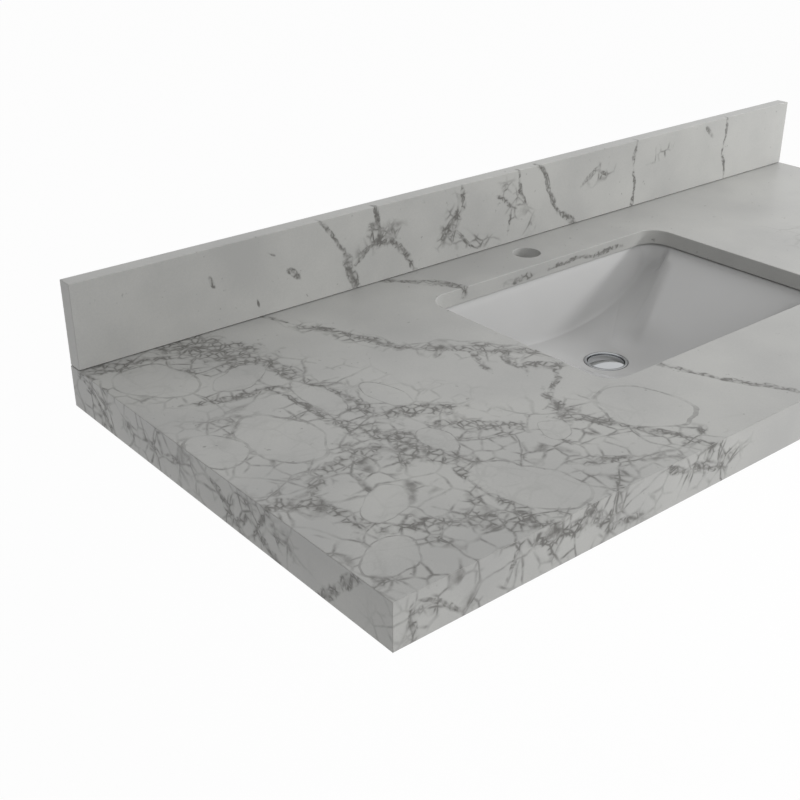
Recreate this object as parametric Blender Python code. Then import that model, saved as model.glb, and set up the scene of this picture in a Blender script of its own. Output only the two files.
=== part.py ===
"""Stone vanity top with an undermount basin and a push-down waste.

Metres, +Z up. +X is to the right and +Y is to the wall. The origin is on the underside of the rear support
strip, halfway along it, in the plane on which the top rests on its cabinet.
"""

import math

import bmesh
import bpy
from mathutils import Matrix, Vector

for old_object in list(bpy.data.objects):
    bpy.data.objects.remove(old_object, do_unlink=True)

# Fits
SEAT_GAP = 0.0003
OVERRUN = 0.005
WELD = 0.00001

# Stone top
TOP_WIDTH = 1.280
TOP_DEPTH = 0.560
STONE_THICKNESS = 0.020
EDGE_HEIGHT = 0.050
EDGE_EASE = 0.0012
SEAT_INSET = 0.010
STRIP_THICKNESS = 0.020

# Backsplash and its bedding
SPLASH_HEIGHT = 0.100
SPLASH_THICKNESS = 0.020
SPLASH_END_INSET = 0.0005
SPLASH_BEDDING = 0.0006
BEDDING_RECESS = 0.0012

# Basin cut-out and faucet hole
CUTOUT_WIDTH = 0.430
CUTOUT_DEPTH = 0.302
CUTOUT_RADIUS = 0.029
CUTOUT_EASE = 0.0010
FAUCET_HOLE_RADIUS = 0.019
FAUCET_HOLE_SETBACK = 0.063
FAUCET_HOLE_BRIDGE = 0.022

# Basin
BASIN_BEAD = 0.0010
BASIN_REVEAL = 0.0015
BEAD_RECESS = 0.006
BEAD_WIDTH = 0.006
RIM_WIDTH = 0.018
RIM_THICKNESS = 0.011
SHELL_THICKNESS = 0.009
BOWL_DEPTH = 0.084
CREASE_ROUND = 0.006
WALL_LEAN = math.radians(12.0)
SCOOP_TIP_FORWARD = 0.017
SCOOP_POWER = 1.2
SCOOP_FULLNESS = 0.62
DRAIN_SETBACK = 0.0375
DRAIN_FALL = 0.0012
DRAIN_BLEND = 0.030
DRAIN_BOSS_RADIUS = 0.0375
DRAIN_BOSS_STEP = 0.001

# Overflow, moulded in the front wall
OVERFLOW_RADIUS = 0.010
OVERFLOW_DROP = 0.030
CHANNEL_WIDTH = 0.020
CHANNEL_HEIGHT = 0.009
CHANNEL_COVER = 0.005
CHANNEL_SKIN = 0.0005
CHANNEL_SLOPE = 0.018
RIB_INSET = 0.0018

# Clips that hold the basin up against the slab
CLIP_SPREAD = 0.150
CLIP_SETBACK = 0.010
CLIP_WIDTH = 0.020
CLIP_STRIP = 0.002
CLIP_GRIP = 0.008
CLIP_HEEL = 0.008
STUD_RADIUS = 0.003
STUD_LENGTH = 0.036
INSERT_RADIUS = 0.0045
INSERT_LENGTH = 0.012
INSERT_END = 0.002
WASHER_RADIUS = 0.0075
WASHER_THICKNESS = 0.0012
WING_NUT_RADIUS = 0.0055
WING_NUT_HEIGHT = 0.006
WING_REACH = 0.013
WING_RISE = 0.004
WING_THICKNESS = 0.0018
WING_INSET = 0.001

# Drain body
FLANGE_RADIUS = 0.030
FLANGE_PROUD = 0.0006
FLANGE_BRIM = 0.0018
DISH_RADIUS = 0.0247
DISH_DEPTH = 0.0046
DISH_FALL = 0.0018
DISH_WALL = 0.0006
DISH_LIP = 0.0010
TUBE_RADIUS = 0.02095
TUBE_BORE_RADIUS = 0.0184
TUBE_LENGTH = 0.058
GASKET_THICKNESS = 0.0014
RECESS_CLEARANCE = 0.0010
HOLE_RADIUS = 0.0227
HOLE_FLARE = 0.003
WINDOW_WIDTH = 0.014
BRIDGE_DROP = 0.028
BRIDGE_HEIGHT = 0.007
BRIDGE_ARM = 0.003
BRIDGE_BOSS_RADIUS = 0.0085
BRIDGE_BOSS_STEP = 0.001

# Rings and nut under the basin
RING_CLEARANCE = 0.0004
CONE_RADIUS = 0.030
CONE_FOOT_RADIUS = 0.026
CONE_HEIGHT = 0.0091
CONE_EDGE = 0.0027
SLIP_RADIUS = 0.027
SLIP_THICKNESS = 0.0015
NUT_RADIUS = 0.031
NUT_HEIGHT = 0.0089

# Tailpiece
TAIL_RADIUS = 0.0159
TAIL_WALL = 0.0010
TAIL_LENGTH = 0.100
TAIL_SHOULDER = 0.0031
TAIL_PLUG = 0.008
TAIL_SEAL = 0.0013

# Stopper and its push-down, push-up cartridge
STOPPER_TRAVEL = 0.009
CAP_RADIUS = 0.0240
CAP_DROP = 0.0021
CAP_RISE = 0.0030
CAP_EDGE = 0.0013
CAP_BOSS_RADIUS = 0.0045
CAP_BOSS_LENGTH = 0.006
CAP_RIB = 0.0010
SEAL_RADIUS = 0.0226
SEAL_INNER_RADIUS = 0.0165
SEAL_THICKNESS = 0.0012
ROD_RADIUS = 0.0025
ROD_THREAD = 0.0010
COLLAR_RADIUS = 0.0036
COLLAR_HEIGHT = 0.0025
HOUSING_RADIUS = 0.0072
HOUSING_BORE_RADIUS = 0.0040
HOUSING_DROP = 0.012
HOUSING_LIP = 0.002
SPIGOT_RADIUS = 0.0050
SPIGOT_LENGTH = 0.009
HOUSING_FLOOR = 0.002
VENT_RADIUS = 0.0015
LATCH_SLACK = 0.002
SPRING_RADIUS = 0.0030
SPRING_WIRE = 0.00045
SPRING_TURNS = 4

# Places that follow from the sizes
BACK_Y = SEAT_INSET
FRONT_Y = BACK_Y - TOP_DEPTH
SIDE_X = TOP_WIDTH / 2
TOP_Z = EDGE_HEIGHT
SLAB_UNDERSIDE = TOP_Z - STONE_THICKNESS
CUTOUT_SETBACK = FAUCET_HOLE_SETBACK + FAUCET_HOLE_RADIUS + FAUCET_HOLE_BRIDGE
BASIN_Y = BACK_Y - CUTOUT_SETBACK - CUTOUT_DEPTH / 2
RIM_Z = SLAB_UNDERSIDE - BASIN_BEAD - 2 * SEAT_GAP
BOWL_HALF_WIDTH = CUTOUT_WIDTH / 2 + BASIN_REVEAL
BOWL_HALF_DEPTH = CUTOUT_DEPTH / 2 + BASIN_REVEAL
BOWL_RADIUS = CUTOUT_RADIUS + BASIN_REVEAL
DRAIN_FLOOR = BOWL_DEPTH + DRAIN_FALL
DRAIN_Z = RIM_Z - DRAIN_FLOOR + FLANGE_PROUD
RECESS_RADIUS = FLANGE_RADIUS + RECESS_CLEARANCE
RECESS_DEPTH = FLANGE_BRIM + GASKET_THICKNESS + 2 * SEAT_GAP
CHANNEL_ROOF = DRAIN_FLOOR + SHELL_THICKNESS + CHANNEL_SKIN
CHANNEL_BED = CHANNEL_ROOF + CHANNEL_HEIGHT
BOSS_UNDERSIDE = CHANNEL_BED + CHANNEL_COVER + DRAIN_BOSS_STEP
BOSS_DROP = BOSS_UNDERSIDE - DRAIN_FLOOR + FLANGE_PROUD
DRAIN_PLACE = Vector((0, BASIN_Y + DRAIN_SETBACK, DRAIN_Z))


def finish(name, colour, roughness, metallic):
    material = bpy.data.materials.new(name)
    material.use_nodes = True
    shader = material.node_tree.nodes["Principled BSDF"]
    shader.inputs["Base Color"].default_value = (*colour, 1)
    shader.inputs["Roughness"].default_value = roughness
    shader.inputs["Metallic"].default_value = metallic
    return material


STONE = finish("polished_stone", (0.47, 0.47, 0.45), 0.25, 0)
CERAMIC = finish("glazed_ceramic", (0.80, 0.80, 0.79), 0.08, 0)
CHROME = finish("chrome", (0.62, 0.62, 0.63), 0.06, 1)
BRASS = finish("brass", (0.70, 0.52, 0.25), 0.30, 1)
STEEL = finish("zinc_plated_steel", (0.55, 0.56, 0.58), 0.35, 1)
RUBBER = finish("black_rubber", (0.03, 0.03, 0.03), 0.70, 0)
SEALANT = finish("grey_sealant", (0.20, 0.20, 0.19), 0.60, 0)
ACETAL = finish("white_acetal", (0.75, 0.75, 0.72), 0.45, 0)


def add_object(name, bm, material, place=(0, 0, 0)):
    bmesh.ops.recalc_face_normals(bm, faces=bm.faces)
    mesh = bpy.data.meshes.new(name)
    bm.to_mesh(mesh)
    bm.free()
    mesh.materials.append(material)
    mesh.shade_smooth()
    mesh.set_sharp_from_angle(angle=math.radians(35))
    piece = bpy.data.objects.new(name, mesh)
    piece.location = place
    bpy.context.scene.collection.objects.link(piece)
    return piece


def add_box(bm, low, high):
    size = Vector(high) - Vector(low)
    centre = (Vector(high) + Vector(low)) / 2
    placed = Matrix.Translation(centre) @ Matrix.Diagonal((*size, 1))
    bmesh.ops.create_cube(bm, size=1, matrix=placed)


def add_rod(bm, foot, radius, height, sides):
    """An upright round rod on its foot point."""
    middle = Vector(foot) + Vector((0, 0, height / 2))
    bmesh.ops.create_cone(
        bm,
        cap_ends=True,
        segments=sides,
        radius1=radius,
        radius2=radius,
        depth=height,
        matrix=Matrix.Translation(middle),
    )


def as_cutter(piece):
    piece.hide_render = True
    piece.display_type = "WIRE"
    return piece


def join(piece, other, operation):
    modifier = piece.modifiers.new(other.name, "BOOLEAN")
    modifier.operation = operation
    modifier.object = other


def turned(outline, sides):
    """A turned piece: its outline of (radius, height) is closed, or open with both ends on the axis."""
    bm = bmesh.new()
    points = [bm.verts.new((radius, 0, height)) for radius, height in outline]
    edges = [bm.edges.new(pair) for pair in zip(points, points[1:])]
    if outline[0][0] > 0:
        edges.append(bm.edges.new((points[-1], points[0])))
    bmesh.ops.spin(
        bm,
        geom=points + edges,
        cent=(0, 0, 0),
        axis=(0, 0, 1),
        angle=math.tau,
        steps=sides,
        use_merge=True,
    )
    bmesh.ops.remove_doubles(bm, verts=bm.verts, dist=WELD)
    return bm


def arc(centre, radius, start, end, steps):
    """Points of an arc in a profile, from one angle in degrees to another."""
    angles = [math.radians(start + (end - start) * step / steps) for step in range(steps + 1)]
    return [(centre[0] + radius * math.cos(a), centre[1] + radius * math.sin(a)) for a in angles]


def lofted(rings, closed):
    """A skin over rings of equal counts: closed round to the first ring, or open and capped."""
    bm = bmesh.new()
    rows = [[bm.verts.new(point) for point in ring] for ring in rings]
    pairs = list(zip(rows, rows[1:]))
    if closed:
        pairs.append((rows[-1], rows[0]))
    for upper, lower in pairs:
        for index in range(len(upper)):
            bm.faces.new((upper[index - 1], upper[index], lower[index], lower[index - 1]))
    if not closed:
        bm.faces.new(rows[0])
        bm.faces.new(list(reversed(rows[-1])))
    return bm


# Rounded rectangle, as spokes: each has a foot on the corners' centre lines and a direction outwards
def rectangle_spokes(half_width, half_depth, radius, along_width, along_depth, round_corner):
    spokes = []
    core_x = half_width - radius
    core_y = half_depth - radius
    corners = ((core_x, core_y), (-core_x, core_y), (-core_x, -core_y), (core_x, -core_y))
    counts = (along_width, along_depth, along_width, along_depth)
    for quarter, (corner, count) in enumerate(zip(corners, counts)):
        for step in range(round_corner + 1):
            angle = math.radians(90 * (quarter + step / round_corner))
            spokes.append((Vector(corner), Vector((math.cos(angle), math.sin(angle)))))
        following = Vector(corners[(quarter + 1) % 4])
        for step in range(1, count):
            foot = Vector(corner).lerp(following, step / count)
            spokes.append((foot, spokes[-1][1]))
    return spokes


def ring_at(spokes, reach, height, centre=(0, 0)):
    ring = []
    for foot, outwards in spokes:
        point = foot + outwards * reach
        ring.append((point.x + centre[0], point.y + centre[1], height))
    return ring


# Stone top: a slab and three aprons, cut to mitres and glued
def mitre_cut(bm, point, outwards):
    """Takes away what lies past a plane, and closes the cut."""
    cut = bmesh.ops.bisect_plane(
        bm,
        geom=bm.verts[:] + bm.edges[:] + bm.faces[:],
        plane_co=point,
        plane_no=outwards,
        clear_outer=True,
        dist=WELD,
    )
    edges = [item for item in cut["geom_cut"] if isinstance(item, bmesh.types.BMEdge)]
    if edges:
        bmesh.ops.contextual_create(bm, geom=edges)


EASE_SHARES = (1 / 4, 1 / 2, 3 / 4)


def ease_arris(bm, corner, first_side, second_side):
    """Rounds one sharp edge with narrow flats that touch the same arc."""
    first = Vector(first_side)
    second = Vector(second_side)
    centre = Vector(corner) - (first + second) * EDGE_EASE
    for share in EASE_SHARES:
        turn = share * math.pi / 2
        outwards = first * math.cos(turn) + second * math.sin(turn)
        mitre_cut(bm, centre + outwards * EDGE_EASE, outwards)


LEFT = Vector((-1, 0, 0))
RIGHT = Vector((1, 0, 0))
FRONT = Vector((0, -1, 0))
UP = Vector((0, 0, 1))
GLUE_HALF = SEAT_GAP / 2


def stone_edge_cuts(bm, sides):
    """Eases the outer edges that the slab and its aprons share, on the sides given."""
    for side in sides:
        ease_arris(bm, Vector((side.x * SIDE_X, FRONT_Y, TOP_Z)), side, UP)
    if FRONT in sides:
        for side in sides:
            if side is not FRONT:
                ease_arris(bm, Vector((side.x * SIDE_X, FRONT_Y, TOP_Z)), side, FRONT)


def make_slab():
    bm = bmesh.new()
    add_box(bm, (-SIDE_X, FRONT_Y, SLAB_UNDERSIDE), (SIDE_X, BACK_Y, TOP_Z))
    for side in (FRONT, LEFT, RIGHT):
        edge = Vector((side.x * SIDE_X, FRONT_Y, TOP_Z))
        outwards = (side - UP).normalized()
        mitre_cut(bm, edge - outwards * GLUE_HALF, outwards)
    stone_edge_cuts(bm, (FRONT, LEFT, RIGHT))
    return add_object("countertop_slab", bm, STONE)


def make_apron(name, side):
    bm = bmesh.new()
    if side is FRONT:
        low = (-SIDE_X, FRONT_Y, 0)
        high = (SIDE_X, FRONT_Y + STONE_THICKNESS, TOP_Z)
        ends = (LEFT, RIGHT)
    else:
        inner_x = side.x * (SIDE_X - STONE_THICKNESS)
        outer_x = side.x * SIDE_X
        low = (min(inner_x, outer_x), FRONT_Y, 0)
        high = (max(inner_x, outer_x), BACK_Y, TOP_Z)
        ends = (FRONT,)
    add_box(bm, low, high)
    edge = Vector((side.x * SIDE_X, FRONT_Y, TOP_Z))
    inwards = (UP - side).normalized()
    mitre_cut(bm, edge - inwards * GLUE_HALF, inwards)
    for end in ends:
        corner = Vector(((side.x + end.x) * SIDE_X, FRONT_Y, TOP_Z))
        past = (end - side).normalized()
        mitre_cut(bm, corner - past * GLUE_HALF, past)
    stone_edge_cuts(bm, (side, *ends))
    ease_arris(bm, Vector((side.x * SIDE_X, FRONT_Y, 0)), side, -UP)
    return add_object(name, bm, STONE)


slab = make_slab()
make_apron("front_apron", FRONT)
make_apron("left_apron", LEFT)
make_apron("right_apron", RIGHT)

bm = bmesh.new()
strip_end = SIDE_X - STONE_THICKNESS - SEAT_GAP
add_box(bm, (-strip_end, BACK_Y - STRIP_THICKNESS, 0), (strip_end, BACK_Y, SLAB_UNDERSIDE - SEAT_GAP))
add_object("rear_support_strip", bm, STONE)

# Backsplash on its bedding
splash_end = SIDE_X - SPLASH_END_INSET
splash_front = BACK_Y - SPLASH_THICKNESS
splash_foot = TOP_Z + SPLASH_BEDDING + 2 * SEAT_GAP
splash_top = splash_foot + SPLASH_HEIGHT
bm = bmesh.new()
add_box(bm, (-splash_end, splash_front, splash_foot), (splash_end, BACK_Y, splash_top))
ease_arris(bm, (0, splash_front, splash_top), FRONT, UP)
ease_arris(bm, (0, BACK_Y, splash_top), -FRONT, UP)
for end in (LEFT, RIGHT):
    ease_arris(bm, (end.x * splash_end, 0, splash_top), end, UP)
    ease_arris(bm, (end.x * splash_end, splash_front, 0), end, FRONT)
add_object("backsplash", bm, STONE)

bm = bmesh.new()
bead_end = splash_end - BEDDING_RECESS
bead_low = (-bead_end, splash_front + BEDDING_RECESS, TOP_Z + SEAT_GAP)
bead_high = (bead_end, BACK_Y - BEDDING_RECESS, TOP_Z + SEAT_GAP + SPLASH_BEDDING)
add_box(bm, bead_low, bead_high)
add_object("backsplash_sealant", bm, SEALANT)

# Cut-out for the basin, its top edge eased, and the faucet hole
cutout_spokes = rectangle_spokes(CUTOUT_WIDTH / 2, CUTOUT_DEPTH / 2, CUTOUT_RADIUS, 1, 1, 8)
cutout_rings = [
    ring_at(cutout_spokes, CUTOUT_RADIUS, SLAB_UNDERSIDE - OVERRUN, (0, BASIN_Y)),
    ring_at(cutout_spokes, CUTOUT_RADIUS, TOP_Z - CUTOUT_EASE, (0, BASIN_Y)),
    ring_at(cutout_spokes, CUTOUT_RADIUS + CUTOUT_EASE, TOP_Z, (0, BASIN_Y)),
    ring_at(cutout_spokes, CUTOUT_RADIUS + CUTOUT_EASE, TOP_Z + OVERRUN, (0, BASIN_Y)),
]
cutout_cutter = as_cutter(add_object("cutout_cutter", lofted(cutout_rings, False), STONE))
join(slab, cutout_cutter, "DIFFERENCE")

hole_outline = [
    (0, SLAB_UNDERSIDE - OVERRUN),
    (FAUCET_HOLE_RADIUS, SLAB_UNDERSIDE - OVERRUN),
    (FAUCET_HOLE_RADIUS, TOP_Z - CUTOUT_EASE / 2),
    (FAUCET_HOLE_RADIUS + CUTOUT_EASE / 2, TOP_Z),
    (FAUCET_HOLE_RADIUS + CUTOUT_EASE / 2, TOP_Z + OVERRUN),
    (0, TOP_Z + OVERRUN),
]
hole_place = (0, BACK_Y - FAUCET_HOLE_SETBACK, 0)
faucet_cutter = as_cutter(add_object("faucet_cutter", turned(hole_outline, 32), STONE, hole_place))
join(slab, faucet_cutter, "DIFFERENCE")


# Basin: long side ramps, a scoop behind the drain and one in front of it, steep walls round them
def distance_inside(x, y):
    """How far inside the bowl's opening a place in plan lies."""
    past_x = abs(x) - (BOWL_HALF_WIDTH - BOWL_RADIUS)
    past_y = abs(y) - (BOWL_HALF_DEPTH - BOWL_RADIUS)
    corner = math.hypot(max(past_x, 0), max(past_y, 0))
    return BOWL_RADIUS - corner - min(max(past_x, past_y), 0)


def eased_step(value):
    """Goes from 0 to 1 with no corner at either end."""
    held = min(max(value, 0), 1)
    return held * held * (3 - 2 * held)


def bowl_height(x, y):
    """Height of the bowl's inside over a place in plan, with sharp creases; the rim's plane is 0."""
    inside = distance_inside(x, y)
    if inside <= 0:
        return 0
    tip_y = -SCOOP_TIP_FORWARD
    corner_y = math.copysign(BOWL_HALF_DEPTH - BOWL_RADIUS, y - tip_y)
    run = min((y - tip_y) / (corner_y - tip_y), 1)
    scoop = BOWL_HALF_WIDTH * run**SCOOP_POWER
    floor = -BOWL_DEPTH * (1 - abs(x) / BOWL_HALF_WIDTH)
    if abs(x) < scoop:
        lip = -BOWL_DEPTH * (1 - scoop / BOWL_HALF_WIDTH)
        floor = lip - (BOWL_DEPTH + lip) * (1 - (x / scoop) ** 2) ** SCOOP_FULLNESS
    from_drain = math.hypot(x, y - DRAIN_SETBACK)
    level = eased_step((from_drain - RECESS_RADIUS) / DRAIN_BLEND)
    floor = floor * level - DRAIN_FLOOR * (1 - level)
    wall = -inside / math.tan(WALL_LEAN)
    return max(floor, wall)


def disc_places(radius, circles, spread):
    """Places over a disc, its middle first."""
    places = [(0, 0)]
    for circle in range(1, circles + 1):
        for turn in range(spread):
            angle = math.tau * (turn + circle / 2) / spread
            reach = radius * circle / circles
            places.append((reach * math.cos(angle), reach * math.sin(angle)))
    return places


ROUNDING_PLACES = disc_places(CREASE_ROUND, 2, 8)
THICKNESS_PLACES = disc_places(SHELL_THICKNESS, 5, 16)


def glazed_height(x, y):
    """The inside as moulded: every crease and the lip rounded by averaging over a small disc."""
    return sum(bowl_height(x + dx, y + dy) for dx, dy in ROUNDING_PLACES) / len(ROUNDING_PLACES)


def underside_height(x, y):
    """The outside of the shell, one wall thickness below the inside, measured square to it."""
    lowest = -RIM_THICKNESS
    for dx, dy in THICKNESS_PLACES:
        if distance_inside(x + dx, y + dy) > 0:
            drop = math.sqrt(max(SHELL_THICKNESS**2 - dx**2 - dy**2, 0))
            lowest = min(lowest, bowl_height(x + dx, y + dy) - drop)
    return lowest


WALL_BAND = BOWL_DEPTH * math.tan(WALL_LEAN) + CREASE_ROUND
BOWL_SPOKES = rectangle_spokes(BOWL_HALF_WIDTH, BOWL_HALF_DEPTH, BOWL_RADIUS, 16, 10, 8)


def bowl_rings(start, wall_steps, floor_steps, drain_radius, height_of):
    """Rings from an offset of the opening, down the walls' band, then across the floor to the drain."""
    rings = []
    for step in range(wall_steps + 1):
        offset = start + (-WALL_BAND - start) * step / wall_steps
        rings.append([(x, y, 0) for x, y, _ in ring_at(BOWL_SPOKES, BOWL_RADIUS + offset, 0)])
    last = rings[-1]
    for step in range(1, floor_steps + 1):
        ring = []
        for x, y, _ in last:
            away = Vector((x, y - DRAIN_SETBACK))
            reach = away.length + (drain_radius - away.length) * step / floor_steps
            point = away.normalized() * reach
            ring.append((point.x, point.y + DRAIN_SETBACK, 0))
        rings.append(ring)
    return [[(x, y, height_of(x, y)) for x, y, _ in ring] for ring in rings]


def drain_ring(radius, height):
    """A level ring round the drain whose points lie on the bowl's spokes."""
    ring = []
    for x, y, _ in ring_at(BOWL_SPOKES, BOWL_RADIUS - WALL_BAND, 0):
        point = Vector((x, y - DRAIN_SETBACK)).normalized() * radius
        ring.append((point.x, point.y + DRAIN_SETBACK, height))
    return ring


recess_floor = -DRAIN_FLOOR - RECESS_DEPTH + FLANGE_PROUD
flare_radius = DISH_RADIUS + DISH_WALL + SEAT_GAP
flare_foot = recess_floor - (DISH_DEPTH + DISH_FALL + DISH_WALL - RECESS_DEPTH) - SEAT_GAP
basin_rings = bowl_rings(CREASE_ROUND, 12, 14, RECESS_RADIUS, glazed_height)
basin_rings += [
    drain_ring(RECESS_RADIUS, recess_floor),
    drain_ring(flare_radius, recess_floor),
    drain_ring(flare_radius, flare_foot),
    drain_ring(HOLE_RADIUS, flare_foot - HOLE_FLARE),
    drain_ring(HOLE_RADIUS, -BOSS_UNDERSIDE),
    drain_ring(DRAIN_BOSS_RADIUS, -BOSS_UNDERSIDE),
]
outer_rings = bowl_rings(SHELL_THICKNESS, 7, 6, DRAIN_BOSS_RADIUS, underside_height)
basin_rings += list(reversed(outer_rings))
basin_rings += [
    ring_at(BOWL_SPOKES, BOWL_RADIUS + RIM_WIDTH, -RIM_THICKNESS),
    ring_at(BOWL_SPOKES, BOWL_RADIUS + RIM_WIDTH, 0),
]
bm = lofted(basin_rings, True)
bmesh.ops.triangulate(bm, faces=bm.faces)
basin = add_object("basin", bm, CERAMIC, (0, BASIN_Y, RIM_Z))


# Overflow: a moulded rib down the front wall and under the floor, with a channel in it
def front_wall(depth, thickness):
    """A point on the front wall's inside at a depth, or on a line that lies that much further out."""
    return -BOWL_HALF_DEPTH + depth * math.tan(WALL_LEAN) - thickness / math.cos(WALL_LEAN), -depth


def add_bent_bar(bm, outline, width):
    """A bar across X with an outline in (y, z)."""
    face = bm.faces.new([bm.verts.new((-width / 2, y, z)) for y, z in outline])
    pushed = bmesh.ops.extrude_face_region(bm, geom=[face])
    verts = [item for item in pushed["geom"] if isinstance(item, bmesh.types.BMVert)]
    bmesh.ops.translate(bm, verts=verts, vec=(width, 0, 0))


rib_outer = SHELL_THICKNESS + CHANNEL_HEIGHT + CHANNEL_COVER
rib_top = RIM_THICKNESS - SEAT_GAP
rib_inner_bed = DRAIN_FLOOR + RIB_INSET / 2
rib_end = DRAIN_SETBACK - (RECESS_RADIUS + DRAIN_BOSS_RADIUS) / 2
rib_outline = [
    front_wall(rib_top, RIB_INSET),
    front_wall(rib_inner_bed, RIB_INSET),
    (rib_end, -rib_inner_bed),
    (rib_end, -CHANNEL_BED - CHANNEL_COVER),
    front_wall(CHANNEL_BED + CHANNEL_COVER, rib_outer),
    front_wall(rib_top + CHANNEL_SLOPE, rib_outer),
    front_wall(rib_top, SHELL_THICKNESS),
]
bm = bmesh.new()
add_bent_bar(bm, rib_outline, CHANNEL_WIDTH + 2 * CHANNEL_COVER)
rib = as_cutter(add_object("overflow_rib", bm, CERAMIC, basin.location))
join(basin, rib, "UNION")

channel_top = OVERFLOW_DROP - OVERFLOW_RADIUS
channel_outer = SHELL_THICKNESS + CHANNEL_HEIGHT
channel_outline = [
    front_wall(channel_top, SHELL_THICKNESS + CHANNEL_SKIN),
    front_wall(CHANNEL_ROOF, SHELL_THICKNESS + CHANNEL_SKIN),
    (DRAIN_SETBACK - HOLE_RADIUS / 2, -CHANNEL_ROOF),
    (DRAIN_SETBACK - HOLE_RADIUS / 2, -CHANNEL_BED),
    front_wall(CHANNEL_BED, channel_outer),
    front_wall(channel_top + CHANNEL_SLOPE, channel_outer),
]
bm = bmesh.new()
add_bent_bar(bm, channel_outline, CHANNEL_WIDTH)
channel = as_cutter(add_object("overflow_channel", bm, CERAMIC, basin.location))
join(basin, channel, "DIFFERENCE")

bm = bmesh.new()
overflow_inner = front_wall(OVERFLOW_DROP, -OVERFLOW_RADIUS)[0]
overflow_outer = front_wall(OVERFLOW_DROP, SHELL_THICKNESS + CHANNEL_HEIGHT / 2)[0]
overflow_middle = Vector((0, (overflow_inner + overflow_outer) / 2, -OVERFLOW_DROP))
bmesh.ops.create_cone(
    bm,
    cap_ends=True,
    segments=24,
    radius1=OVERFLOW_RADIUS,
    radius2=OVERFLOW_RADIUS,
    depth=overflow_inner - overflow_outer,
    matrix=Matrix.Translation(overflow_middle) @ Matrix.Rotation(math.pi / 2, 4, "X"),
)
overflow = as_cutter(add_object("overflow_cutter", bm, CERAMIC, basin.location))
join(basin, overflow, "DIFFERENCE")

# Bead between the basin's rim and the slab
bead_spokes = rectangle_spokes(BOWL_HALF_WIDTH, BOWL_HALF_DEPTH, BOWL_RADIUS, 1, 1, 6)
bead_inner = BOWL_RADIUS + BEAD_RECESS
bead_outer = bead_inner + BEAD_WIDTH
bead_rings = [
    ring_at(bead_spokes, bead_inner, SEAT_GAP + BASIN_BEAD),
    ring_at(bead_spokes, bead_inner, SEAT_GAP),
    ring_at(bead_spokes, bead_outer, SEAT_GAP),
    ring_at(bead_spokes, bead_outer, SEAT_GAP + BASIN_BEAD),
]
add_object("basin_sealant", lofted(bead_rings, True), SEALANT, (0, BASIN_Y, RIM_Z))

# Basin clips: an insert in the slab, a stud, a bent clip, a washer and a wing nut at each of six places
rim_x = BOWL_HALF_WIDTH + RIM_WIDTH + CLIP_SETBACK
rim_y = BOWL_HALF_DEPTH + RIM_WIDTH + CLIP_SETBACK
CLIP_PLACES = (
    (rim_x, 0, 0),
    (CLIP_SPREAD, rim_y, 90),
    (-CLIP_SPREAD, rim_y, 90),
    (-rim_x, 0, 180),
    (-CLIP_SPREAD, -rim_y, 270),
    (CLIP_SPREAD, -rim_y, 270),
)
clip_top = RIM_Z - RIM_THICKNESS - SEAT_GAP
clip_foot = clip_top - CLIP_STRIP
washer_foot = clip_foot - SEAT_GAP - WASHER_THICKNESS
nut_top = washer_foot - SEAT_GAP


def clip_frame(x, y, turn):
    """The place and turn of one clip, whose basin side is -X before it is turned."""
    return Matrix.Translation((x, BASIN_Y + y, 0)) @ Matrix.Rotation(math.radians(turn), 4, "Z")


def at_each_clip(name, bm, material):
    """One object at each of the six places, all sharing the mesh made round the Z axis."""
    first = add_object(f"{name}_1", bm, material)
    pieces = [first]
    for number in range(2, len(CLIP_PLACES) + 1):
        copy = first.copy()
        copy.name = f"{name}_{number}"
        bpy.context.scene.collection.objects.link(copy)
        pieces.append(copy)
    for piece, place in zip(pieces, CLIP_PLACES):
        piece.matrix_world = clip_frame(*place)
    return pieces


def join_each(pieces, cutters, operation):
    for piece, cutter in zip(pieces, cutters):
        join(piece, as_cutter(cutter), operation)


insert_top = SLAB_UNDERSIDE - SEAT_GAP + INSERT_LENGTH
bm = bmesh.new()
add_rod(bm, (0, 0, SLAB_UNDERSIDE - OVERRUN), INSERT_RADIUS + SEAT_GAP, OVERRUN + INSERT_LENGTH, 12)
for insert_hole in at_each_clip("insert_hole_cutter", bm, STONE):
    join(slab, as_cutter(insert_hole), "DIFFERENCE")

stud_clear = STUD_RADIUS + SEAT_GAP
insert_outline = [
    (0, insert_top),
    (INSERT_RADIUS, insert_top),
    (INSERT_RADIUS, SLAB_UNDERSIDE - SEAT_GAP),
    (stud_clear, SLAB_UNDERSIDE - SEAT_GAP),
    (stud_clear, insert_top - INSERT_END),
    (0, insert_top - INSERT_END),
]
at_each_clip("slab_insert", turned(insert_outline, 12), BRASS)

stud_top = insert_top - INSERT_END - SEAT_GAP
bm = bmesh.new()
add_rod(bm, (0, 0, stud_top - STUD_LENGTH), STUD_RADIUS, STUD_LENGTH, 10)
at_each_clip("clip_stud", bm, STEEL)

clip_outline = [
    (-CLIP_SETBACK - CLIP_GRIP, clip_foot),
    (CLIP_HEEL, clip_foot),
    (CLIP_HEEL, SLAB_UNDERSIDE - SEAT_GAP),
    (CLIP_HEEL - CLIP_STRIP, SLAB_UNDERSIDE - SEAT_GAP),
    (CLIP_HEEL - CLIP_STRIP, clip_top),
    (-CLIP_SETBACK - CLIP_GRIP, clip_top),
]
bm = bmesh.new()
add_bent_bar(bm, clip_outline, CLIP_WIDTH)
bmesh.ops.rotate(bm, verts=bm.verts, matrix=Matrix.Rotation(-math.pi / 2, 3, "Z"))
clips = at_each_clip("basin_clip", bm, STEEL)
bm = bmesh.new()
add_rod(bm, (0, 0, clip_foot - OVERRUN), stud_clear, CLIP_STRIP + 2 * OVERRUN, 10)
join_each(clips, at_each_clip("clip_hole_cutter", bm, STEEL), "DIFFERENCE")

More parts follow.
